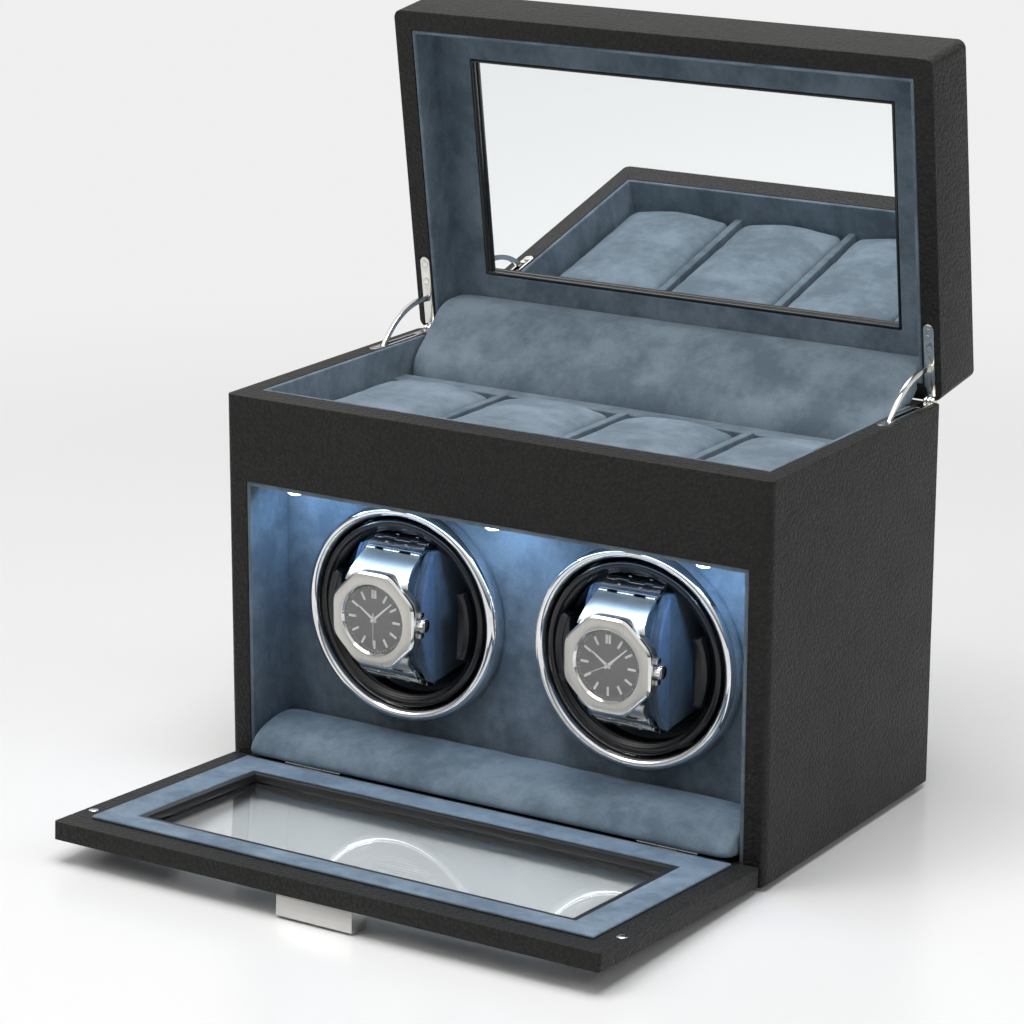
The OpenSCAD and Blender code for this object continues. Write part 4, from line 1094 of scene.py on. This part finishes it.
def slab(outline, x0, x1, edge):
    """A soft-edged plate: a YZ outline in mm, from x0 to x1."""
    plate = point_ring([(x0, y, z) for y, z in outline], "NGON")
    edit(plate)
    bpy.ops.mesh.extrude_region_move(TRANSFORM_OT_translate={"value": ((x1 - x0) * MM, 0, 0)})
    leave()
    outward(plate)
    soften(plate, edge, 4, 50)
    return plate


def bow(front, straight, middle, half, count=17):
    """A D: an arc from the straight side out to the front, over 2 * half."""
    rise = straight - front
    radius = (half * half + rise * rise) / (2 * rise)
    reach = math.asin(half / radius)
    arc = [reach * (2 * k / (count - 1) - 1) for k in range(count)]
    return [(front + radius * (1 - math.cos(a)), middle + radius * math.sin(a)) for a in arc]


PILLOW_BOX = {side: box_mm("pillow_" + side) for side in BOTH}
pillow_low, pillow_high = PILLOW_BOX["left"]
pillow_size = pillow_high - pillow_low
for side in BOTH:
    low, high = PILLOW_BOX[side]
    x = (low.x + high.x) / 2
    centre = ((low.y + high.y) / 2, (low.z + high.z) / 2)
    section = stadium(centre, high.y - low.y - CORE_DEPTH_ROOM, high.z - low.z - CORE_HEIGHT_ROOM, 48)
    pillow = slab(section, x - CORE_HALF, x + CORE_HALF, CORE_EDGE)
    half = (high.z - low.z) / 2
    straight = low.y + CAP_DEPTH
    cap = bow(low.y + 0.2, straight, centre[1], half)
    seat = straight + 0.5
    back_half = half - BACK_TAPER
    back = [(seat, centre[1] - half), (high.y, centre[1] - back_half)]
    back += [(high.y, centre[1] + back_half), (seat, centre[1] + half)]
    parts, caps = [pillow], []
    root = CORE_HALF - CORE_OVERLAP
    for end in (-1, 1):
        parts.append(slab(cap, x + end * root, x + end * SEAM_X, CAP_EDGE))
        face = slab(cap, x + end * (SEAM_X - FACE_OVERLAP), x + end * CAP_X, FACE_EDGE)
        parts.append(face)
        caps.append(face)
        parts.append(slab(back, x + end * root, x + end * PANEL_X, PANEL_EDGE))
    for part in parts:
        # The caps wear the suede painted bluer for the blue bay light.
        coat(part, CAP_SUEDE_PAINTED_BLUE_LIGHT if part in caps else PILLOW_SUEDE)
    pillow = joined("pillow", parts)
    crumple(pillow, depth=0.12, size=12.0, seed=x / 10)
    smooth(pillow, 50)
    body = body_of("pillow_" + side)
    finish_piece(pillow, "winder_pillow_" + side, None, body, "cushion_suede", "pillow_" + side)
print("pillow size", [round(v, 1) for v in pillow_size])

# %% [markdown]
# ## Chrome rings and black cups
# The rings are spun: a closed profile of radius against depth is turned
# round the winder's axis. The chrome has a full convex roll and a fine inner
# lip, and the black bezel inside it is a low flat band that steps down to a
# shallow cone at the cup's mouth.

# %% Spun rings
RING_STEPS = 120


def spun(name, profile, axis_x):
    """Turns a closed (radius, y) profile, in mm, once round a winder's axis."""
    ring = point_ring([(axis_x + r, y, WINDER_Z) for r, y in profile])
    edit(ring)
    centre = (axis_x * MM, 0.0, WINDER_Z * MM)
    bpy.ops.mesh.spin(steps=RING_STEPS, angle=2 * math.pi, center=centre, axis=(0, 1, 0))
    leave()
    outward(ring)
    ring.name = name
    smooth(ring, 40)
    return ring


def roll(middle, half_w, base_y, depth, count, power):
    """Points of a convex roll, from its outer foot over the crest to its inner foot."""
    points = []
    for k in range(count + 1):
        a = math.pi * k / count
        points.append((middle + half_w * math.cos(a), base_y - depth * math.sin(a) ** power))
    return points


ring_low, ring_high = box_mm("chrome_ring_left")
cup_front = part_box("rotor_cup_left")[0].y / MM
RING_R = (ring_high.x - ring_low.x) / 2
CUP_R = 43.0
CUP_MOUTH = 38.0
WINDER_Z = (ring_low.z + ring_high.z) / 2
ROLL_HALF = 3.5
CHROME_PROFILE = roll(RING_R - ROLL_HALF, ROLL_HALF, ring_high.y, ring_high.y - ring_low.y, 16, 0.75)
CHROME_PROFILE += [
    (RING_R - 7.2, ring_high.y - 3.0),
    (RING_R - 7.35, ring_high.y - 3.8),
    (RING_R - 7.4, ring_high.y - 0.1),
]
BEZEL_PROFILE = (
    (CUP_R - 0.05, cup_front + 0.05),
    (CUP_R - 0.05, cup_front - 1.1),
    (CUP_R - 0.5, cup_front - 1.5),
    (CUP_R - 2.2, cup_front - 1.7),
    (CUP_R - 2.6, cup_front - 1.5),
    (CUP_R - 2.9, cup_front - 1.0),
    (CUP_MOUTH + 1.2, cup_front - 0.5),
    (CUP_MOUTH + 0.4, cup_front - 0.2),
    (CUP_MOUTH + 0.2, cup_front + 0.05),
)
for side in BOTH:
    low, high = box_mm("chrome_ring_" + side)
    axis_x = (low.x + high.x) / 2
    body = body_of("chrome_ring_" + side)
    ring = spun("chrome_roll_" + side, CHROME_PROFILE, axis_x)
    finish_piece(ring, "chrome_roll_" + side, CHROME, body, "chrome", "chrome_ring_" + side)
    bezel = spun("cup_bezel_" + side, BEZEL_PROFILE, axis_x)
    body = body_of("rotor_cup_" + side)
    finish_piece(bezel, "cup_bezel_" + side, GLOSS_BLACK, body, "gloss_black")
    softened_node("rotor_cup_" + side, 0.4, GLOSS_BLACK, "gloss_black", 3)
print("ring radius", RING_R, "axis height", WINDER_Z)

# %% [markdown]
# ## Watches
# Each watch has a soft-cornered octagonal bezel over a slightly smaller case,
# two shoulders that curve back into the bracelet, a dark dial with applied
# batons, hands, a crystal and a fluted crown. `ringed` builds most of it: a
# ring of points is extruded again and again, and after each step the new ring
# is laid on its outline. An outline is a rule that gives a radius for an angle,
# so that a ring can pass from an octagon to a circle.


# %% Rings on outlines
def circle(radius):
    return lambda angle: radius


def octagon(flat, crisp=22.0):
    """A soft-cornered octagon, by the distance from its middle to a flat."""
    def radius(angle):
        total = sum(max(0.0, math.cos(angle - k * math.pi / 4)) ** crisp for k in range(8))
        return flat / total ** (1.0 / crisp)
    return radius


def lay_ring(piece, centre, outline, y):
    for vertex in piece.data.vertices:
        if vertex.select:
            p = vertex.co / MM
            angle = math.atan2(p.z - centre[1], p.x - centre[0])
            r = outline(angle)
            vertex.co = Vector((centre[0] + r * math.cos(angle), y, centre[1] + r * math.sin(angle))) * MM


def ringed(name, rings, centre, capped=True, count=96):
    """A skin through rings (outline, y) round an axis along Y at centre (x, z)."""
    bpy.ops.object.select_all(action="DESELECT")
    bpy.ops.mesh.primitive_circle_add(
        vertices=count, radius=MM, fill_type="NGON" if capped else "NOTHING",
        location=(centre[0] * MM, 0.0, centre[1] * MM), rotation=(math.pi / 2, 0.0, 0.0),
    )
    piece = bpy.context.object
    settle(piece)
    edit(piece)
    leave()
    lay_ring(piece, centre, *rings[0])
    for outline, y in rings[1:]:
        bpy.ops.object.mode_set(mode="EDIT")
        bpy.ops.mesh.extrude_region_move(TRANSFORM_OT_translate={"value": (0.0, 0.0, 0.0)})
        leave()
        lay_ring(piece, centre, outline, y)
    outward(piece)
    piece.name = name
    smooth(piece, 30)
    return piece


def two_finishes(piece, first, second, second_where):
    """The second finish goes on the faces whose normal passes the rule."""
    coat(piece, first, second)
    for polygon in piece.data.polygons:
        polygon.material_index = 1 if second_where(polygon.normal) else 0


# %% Watch sizes
DIAL_Y = box_mm("watch_dial_left")[1].y - 0.1
DIAL_R = 15.4
BEZEL = 21.6
BEZEL_FRONT = DIAL_Y - 1.9
CASE_SEAT = BEZEL_FRONT + 2.6
WATCH_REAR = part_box("pillow_left")[0].y / MM - 1.2
STRAP_R = pillow_size.y / 2 + 3.3
STRAP_STRAIGHT = (pillow_size.z - pillow_size.y) / 2 + 1.0
SHOULDER_TURN = {1: math.radians(53.0), -1: math.radians(34.0)}
SHOULDER_ROOT, SHOULDER_BEND = 15.6, 21.0
SHOULDER_WIDE, SHOULDER_THICK = 34.0, 2.7
LINK_PITCH = 6.6
LINK_TURN = LINK_PITCH / (STRAP_R - 1.5)
BRACELET_WIDE, BRACELET_NARROW = 29.0, 25.5
HOUR_TURN, MINUTE_TURN = 304.0, 48.0
TIP_WIDTH = 0.45
SECOND_TURN = {"left": 181.0, "right": 243.0}


def strap_place(side, end, turn, inset=0.0):
    """The frame of a point on the strap: its Z is outward, its Y runs along the strap."""
    low, high = PILLOW_BOX[side]
    mid = (low + high) / 2
    lift = end * (STRAP_STRAIGHT + (STRAP_R - inset) * math.sin(turn))
    centre = Vector((mid.x, mid.y - (STRAP_R - inset) * math.cos(turn), mid.z + lift))
    lean = math.pi / 2 - end * turn
    return Matrix.Translation(centre * MM) @ Matrix.Rotation(lean, 4, "X")


# %% Watch heads
def bezel_and_case(side, centre):
    bezel = ringed("watch_bezel_" + side, [
        (octagon(BEZEL - 0.5), CASE_SEAT + 0.1),
        (octagon(BEZEL), CASE_SEAT - 0.4),
        (octagon(BEZEL), BEZEL_FRONT + 0.95),
        (octagon(BEZEL - 0.95), BEZEL_FRONT + 0.05),
        (octagon(BEZEL - 1.1), BEZEL_FRONT),
        (circle(DIAL_R + 0.95), BEZEL_FRONT - 0.1),
        (circle(DIAL_R + 0.75), BEZEL_FRONT),
        (circle(DIAL_R + 0.1), BEZEL_FRONT + 1.0),
        (circle(DIAL_R + 0.1), CASE_SEAT + 0.1),
        (octagon(BEZEL - 0.5), CASE_SEAT + 0.1),
    ], centre, capped=False)
    two_finishes(bezel, WATCH_BRUSHED, WATCH_POLISHED, lambda n: n.y > -0.93)
    case = ringed("watch_case_" + side, [
        (octagon(BEZEL - 2.2), WATCH_REAR),
        (octagon(BEZEL - 0.9), WATCH_REAR - 1.0),
        (octagon(BEZEL - 0.35), WATCH_REAR - 2.6),
        (octagon(BEZEL - 0.5), CASE_SEAT + 0.5),
        (octagon(BEZEL - 1.2), CASE_SEAT),
    ], centre)
    coat(case, WATCH_BRUSHED)
    return [bezel, case]


def shoulder(side, end, centre):
    """A plate that leaves the case flat and curves back on to the strap."""
    target = strap_place(side, end, SHOULDER_TURN[end]).translation / MM
    start = Vector((CASE_SEAT + 0.4, centre[1] + end * SHOULDER_ROOT))
    bend = Vector((CASE_SEAT + 0.9, centre[1] + end * SHOULDER_BEND))
    finish = Vector((target.y, target.z))
    bpy.ops.object.select_all(action="DESELECT")
    bpy.ops.mesh.primitive_grid_add(x_subdivisions=9, y_subdivisions=13, size=2.0)
    plate = bpy.context.object
    for vertex in plate.data.vertices:
        across, along = vertex.co.x, (vertex.co.y + 1.0) / 2
        line = start * (1 - along) ** 2 + bend * 2 * along * (1 - along) + finish * along ** 2
        wide = SHOULDER_WIDE - (SHOULDER_WIDE - BRACELET_WIDE) * along ** 0.8
        roll_off = 0.35 * abs(across) ** 8
        vertex.co = Vector((centre[0] + across * wide / 2, line.x + roll_off, line.y)) * MM
    wall = plate.modifiers.new("wall", "SOLIDIFY")
    wall.thickness = SHOULDER_THICK * MM
    wall.offset = -1.0 if end > 0 else 1.0
    apply_all(plate)
    outward(plate)
    soften(plate, 0.45, 3, 50)
    two_finishes(plate, WATCH_BRUSHED, WATCH_POLISHED, lambda n: abs(n.x) > 0.35)
    return plate


CROWN_R, CROWN_LENGTH, CROWN_FLUTES = 2.9, 3.6, 20
GUARD, GUARD_Z = (3.0, 3.6, 2.6), 4.7


def crown(centre):
    """A fluted knob at three o'clock, between two guards that stand on the case."""
    bpy.ops.object.select_all(action="DESELECT")
    place = Vector((centre[0] + BEZEL + 1.5, (CASE_SEAT + WATCH_REAR) / 2, centre[1]))
    bpy.ops.mesh.primitive_cylinder_add(
        vertices=CROWN_FLUTES,
        radius=CROWN_R * MM,
        depth=CROWN_LENGTH * MM,
        location=place * MM,
        rotation=(0, math.pi / 2, 0),
    )
    knob = bpy.context.object
    settle(knob)
    edit(knob, "DESELECT")
    bpy.ops.mesh.select_mode(type="FACE")
    leave()
    for polygon in knob.data.polygons:
        polygon.select = abs(polygon.normal.x) < 0.5
    bpy.ops.object.mode_set(mode="EDIT")
    bpy.ops.mesh.inset(thickness=0.14 * MM, depth=0.18 * MM, use_individual=True)
    leave()
    soften(knob, 0.3, 2, 60)
    coat(knob, WATCH_POLISHED)
    guards = []
    for end in (-1, 1):
        guard = small_block("guard", GUARD, 0.5)
        spot = Vector((centre[0] + BEZEL - 0.2, place.y, centre[1] + end * GUARD_Z))
        put(guard, Matrix.Translation(spot * MM))
        two_finishes(guard, WATCH_BRUSHED, WATCH_POLISHED, lambda n: abs(n.x) > 0.6)
        smooth(guard)
        guards.append(guard)
    return [knob] + guards


# %% Bracelets
TAPER_TURN = 1.6
STAGGER = 0.8
PLATE_SHARE, STUD_SHARE, PIN_SHARE = 0.86, 0.20, 0.16
PIN_X = 5.2
PLATE_THICK, STUD_THICK, PIN_THICK = 2.8, 2.4, 0.8
CLASP_TURN = 0.1


def row(side, end, turn, odd):
    """One row: a brushed plate with two fine pins, and bright studs in the gap before it."""
    share = min(1.0, max(0.0, (turn - SHOULDER_TURN[end]) / TAPER_TURN))
    wide = BRACELET_WIDE - (BRACELET_WIDE - BRACELET_NARROW) * share
    parts = []
    plate = small_block("plate", (wide, LINK_PITCH * PLATE_SHARE, PLATE_THICK), 0.4)
    put(plate, strap_place(side, end, turn + LINK_TURN / 2, 1.4))
    two_finishes(plate, LINK_STEEL, WATCH_POLISHED, lambda n: abs(n.x) > 0.4)
    parts.append(plate)
    shift = STAGGER if odd else -STAGGER
    for x, long in ((-wide * 0.41, 4.4), (shift, 8.2), (wide * 0.40, 4.8)):
        stud = small_block("stud", (long, LINK_PITCH * STUD_SHARE, STUD_THICK), 0.25)
        along = strap_place(side, end, turn, 1.05)
        put(stud, along @ Matrix.Translation(Vector((x, 0.0, 0.0)) * MM))
        coat(stud, STUD_STEEL)
        parts.append(stud)
    for x in (-PIN_X + shift, PIN_X + shift):
        pin = small_block("pin", (1.5, LINK_PITCH * PIN_SHARE, PIN_THICK), 0.15)
        seat = strap_place(side, end, turn + LINK_TURN * 0.62, -0.05)
        put(pin, seat @ Matrix.Translation(Vector((x, 0.0, -0.25)) * MM))
        coat(pin, STUD_STEEL)
        parts.append(pin)
    return parts


def bracelet(side):
    rows = []
    for end in (-1, 1):
        first = SHOULDER_TURN[end] + LINK_TURN * 0.1
        for k in range(int((math.pi - CLASP_TURN - first) / LINK_TURN)):
            rows += row(side, end, first + LINK_TURN * k, k % 2)
    strip = joined("watch_bracelet_" + side, rows)
    smooth(strip, 40)
    return strip


# %% Dials
BATON, BATON_AT = (1.05, 3.9, 0.5), 0.755
TICK, TICK_AT = (0.16, 0.8, 0.12), 0.955
PAIR_X = 0.75


def on_dial(centre, turn, out=0.0, lift=0.0):
    """The frame of a point on the dial: Y points outward from the middle, Z to the viewer."""
    middle = Vector((centre[0], DIAL_Y - lift, centre[1])) * MM
    face = Matrix.Rotation(math.pi / 2, 4, "X")
    spin = Matrix.Rotation(-math.radians(turn), 4, "Z")
    return Matrix.Translation(middle) @ face @ spin @ Matrix.Translation((0.0, out * MM, 0.0))


def hand(centre, turn, reach, tail, wide, lift):
    """A slim bar that narrows towards its tip, with a short tail behind the middle."""
    strip = small_block("hand", (wide, reach + tail, 0.22), 0.08, 1)
    for vertex in strip.data.vertices:
        if vertex.co.y > 0:
            vertex.co.x *= TIP_WIDTH
    put(strip, on_dial(centre, turn, (reach - tail) / 2, lift))
    coat(strip, MARK_WHITE)
    return strip


def dial(side, centre):
    plate = ringed("watch_face_" + side, [
        (circle(DIAL_R + 0.3), DIAL_Y + 0.6),
        (circle(DIAL_R + 0.3), DIAL_Y),
        (circle(DIAL_R - 0.5), DIAL_Y - 0.02),
    ], centre)
    coat(plate, DIAL_GREY)
    parts = [plate]
    for k in range(12):
        offsets = (-PAIR_X, PAIR_X) if k == 0 else (0.0,)
        for dx in offsets:
            mark = small_block("mark", BATON, 0.12, 1)
            place = on_dial(centre, 30.0 * k, DIAL_R * BATON_AT, 0.25)
            put(mark, place @ Matrix.Translation((dx * MM, 0.0, 0.0)))
            coat(mark, MARK_WHITE)
            parts.append(mark)
    for k in range(60):
        if k % 5:
            tick = small_block("tick", TICK, 0.03, 1)
            put(tick, on_dial(centre, 6.0 * k, DIAL_R * TICK_AT, 0.03))
            coat(tick, MARK_WHITE)
            parts.append(tick)
    parts.append(hand(centre, HOUR_TURN, DIAL_R * 0.60, tail=1.6, wide=1.5, lift=0.75))
    parts.append(hand(centre, MINUTE_TURN, DIAL_R * 0.84, tail=1.8, wide=1.25, lift=1.0))
    parts.append(hand(centre, SECOND_TURN[side], DIAL_R * 0.78, tail=3.2, wide=0.4, lift=1.2))
    boss = ringed("boss", [
        (circle(0.9), DIAL_Y),
        (circle(0.9), DIAL_Y - 1.3),
        (circle(0.5), DIAL_Y - 1.45),
    ], centre, count=20)
    coat(boss, WATCH_POLISHED)
    parts.append(boss)
    face = joined("watch_face_" + side, parts)
    smooth(face, 35)
    return face


# %% Both watches
for side in BOTH:
    low, high = box_mm("watch_dial_" + side)
    centre = ((low.x + high.x) / 2, (low.z + high.z) / 2)
    body = body_of("watch_" + side)
    shoulders = [shoulder(side, end, centre) for end in (-1, 1)]
    head = joined("watch_head_" + side, bezel_and_case(side, centre) + shoulders + crown(centre))
    finish_piece(head, "watch_head_" + side, None, body, "watch_steel", "watch_" + side)
    finish_piece(bracelet(side), "watch_bracelet_" + side, None, body, "watch_steel", "watch_" + side)
    face_body = body_of("watch_dial_" + side)
    finish_piece(dial(side, centre), "watch_face_" + side, None, face_body, "dial", "watch_dial_" + side)
    crystal = ringed("watch_crystal_" + side, [
        (circle(DIAL_R + 0.05), BEZEL_FRONT + 1.0),
        (circle(DIAL_R + 0.05), BEZEL_FRONT + 0.3),
        (circle(DIAL_R - 0.4), BEZEL_FRONT + 0.05),
        (circle(DIAL_R - 6.0), BEZEL_FRONT),
    ], centre)
    finish_piece(crystal, "watch_crystal_" + side, CRYSTAL, body, "glass")
    # Painted shade: a near-black core fills the bracelet under its links and shows as shade in the gaps.
    pillow_centre = ((pillow_low.y + pillow_high.y) / 2, (pillow_low.z + pillow_high.z) / 2)
    core_section = stadium(pillow_centre, pillow_size.y + 1.6, pillow_size.z + 1.6, 40)
    core_half = BRACELET_NARROW / 2 - 1.0
    core_ends = [(centre[0] + end * core_half, 1.0) for end in (-1, 1)]
    core = loft("core", core_section, core_ends, pillow_centre, levels=0)
    smooth(core, 40)
    finish_piece(core, "bracelet_core_" + side, LINK_GAP_SHADE, body, "watch_steel")
print("watch front plane", round(BEZEL_FRONT, 2), "dial plane", round(DIAL_Y, 2))

# %% [markdown]
# ### Cup lobes
# At nine and at three o'clock a black spring lobe presses outward against the
# cup. Each is one thick block, spun through a short arc round the winder's
# axis, and its inner side is then pressed flat.

# %% Cup lobes
LOBE_HALF = math.radians(25.0)
LOBE_OUT, LOBE_IN = 37.75, 30.2
LOBE_FRONT, LOBE_REAR = cup_front - 3.7, cup_front + 17.0
LOBE_CORNERS = (
    (LOBE_IN, LOBE_FRONT),
    (LOBE_OUT, LOBE_FRONT),
    (LOBE_OUT, LOBE_REAR),
    (LOBE_IN, LOBE_REAR),
)
for side in BOTH:
    low, high = box_mm("chrome_ring_" + side)
    axis_x = (low.x + high.x) / 2
    body = body_of("pillow_cradle_" + side)
    for hour, base in (("three", 0.0), ("nine", math.pi)):
        start = base - LOBE_HALF
        lobe = point_ring(
            [(axis_x + r * math.cos(start), y, WINDER_Z + r * math.sin(start)) for r, y in LOBE_CORNERS],
            "NGON",
        )
        edit(lobe)
        centre = (axis_x * MM, 0.0, WINDER_Z * MM)
        bpy.ops.mesh.spin(steps=18, angle=2 * LOBE_HALF, center=centre, axis=(0, 1, 0))
        leave()
        outward(lobe)
        for vertex in lobe.data.vertices:
            p = vertex.co / MM
            dx, dz = p.x - axis_x, p.z - WINDER_Z
            r = math.hypot(dx, dz)
            if r < (LOBE_IN + LOBE_OUT) / 2:
                off = math.atan2(dz, dx) - base
                wanted = LOBE_IN / math.cos(off)
                vertex.co = Vector((axis_x + dx / r * wanted, p.y, WINDER_Z + dz / r * wanted)) * MM
        soften(lobe, 1.3, 4, 30)
        finish_piece(lobe, "cradle_lobe_" + hour + "_" + side, GLOSS_BLACK, body, "gloss_black")
print("lobes", LOBE_IN, "to", LOBE_OUT)

# %% [markdown]
# ## Bay lamps
# Three small domes hang from the bay's ceiling on a slim bar. They glow, and
# a blue-white area lamp under each one, with a long one across all three,
# throws the cool light that washes down the panel and the side walls.

# %% Lamp domes and their light
BAY_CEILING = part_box("bay_lining")[1].z / MM - 1.8
LED_BLUE = (0.36, 0.62, 1.0)
led_low, led_high = box_mm("led_strip")
LED_Y = (led_low.y + led_high.y) / 2
LED_X = (-104.0, 0.0, 104.0)
DOME_R = 3.9
domes = []
for x in LED_X:
    dome = ringed("dome", [
        (circle(DOME_R), 1.6),
        (circle(DOME_R), 0.0),
        (circle(DOME_R * 0.92), -0.8),
        (circle(DOME_R * 0.70), -1.5),
        (circle(DOME_R * 0.35), -1.9),
    ], (0.0, 0.0), count=40)
    hang = Matrix.Translation(Vector((x, LED_Y, BAY_CEILING)) * MM) @ Matrix.Rotation(math.pi / 2, 4, "X")
    domes.append(put(dome, hang))
bar = small_block("bar", (led_high.x - led_low.x - 0.4, 5.4, 1.2), 0.2)
domes.append(put(bar, Matrix.Translation(Vector((0.0, LED_Y, led_high.z - 0.7)) * MM)))
lamps = joined("bay_lamps", domes)
smooth(lamps, 60)
finish_piece(lamps, "bay_lamps", LAMP, "case", "lamp", "led_strip")


LIGHT_DROP, AIM_DROP = 2.6, 45.0


def bay_light(name, x, size, watts):
    """A cool lamp just under the ceiling, aimed at the panel."""
    place = Vector((x, LED_Y, BAY_CEILING - LIGHT_DROP)) * MM
    aim = Vector((x, PANEL_Y, BAY_CEILING - AIM_DROP)) * MM
    light = soft_lamp(name, place, aim, size, watts, LED_BLUE)
    light.visible_camera = False
    return light


for index, x in enumerate(LED_X):
    bay_light("bay_spot_" + str(index + 1), x, size=(0.006, 0.006), watts=0.020)
bay_light("bay_wash", 0.0, size=(0.236, 0.005), watts=0.026)
print("bay lamps at", LED_X)
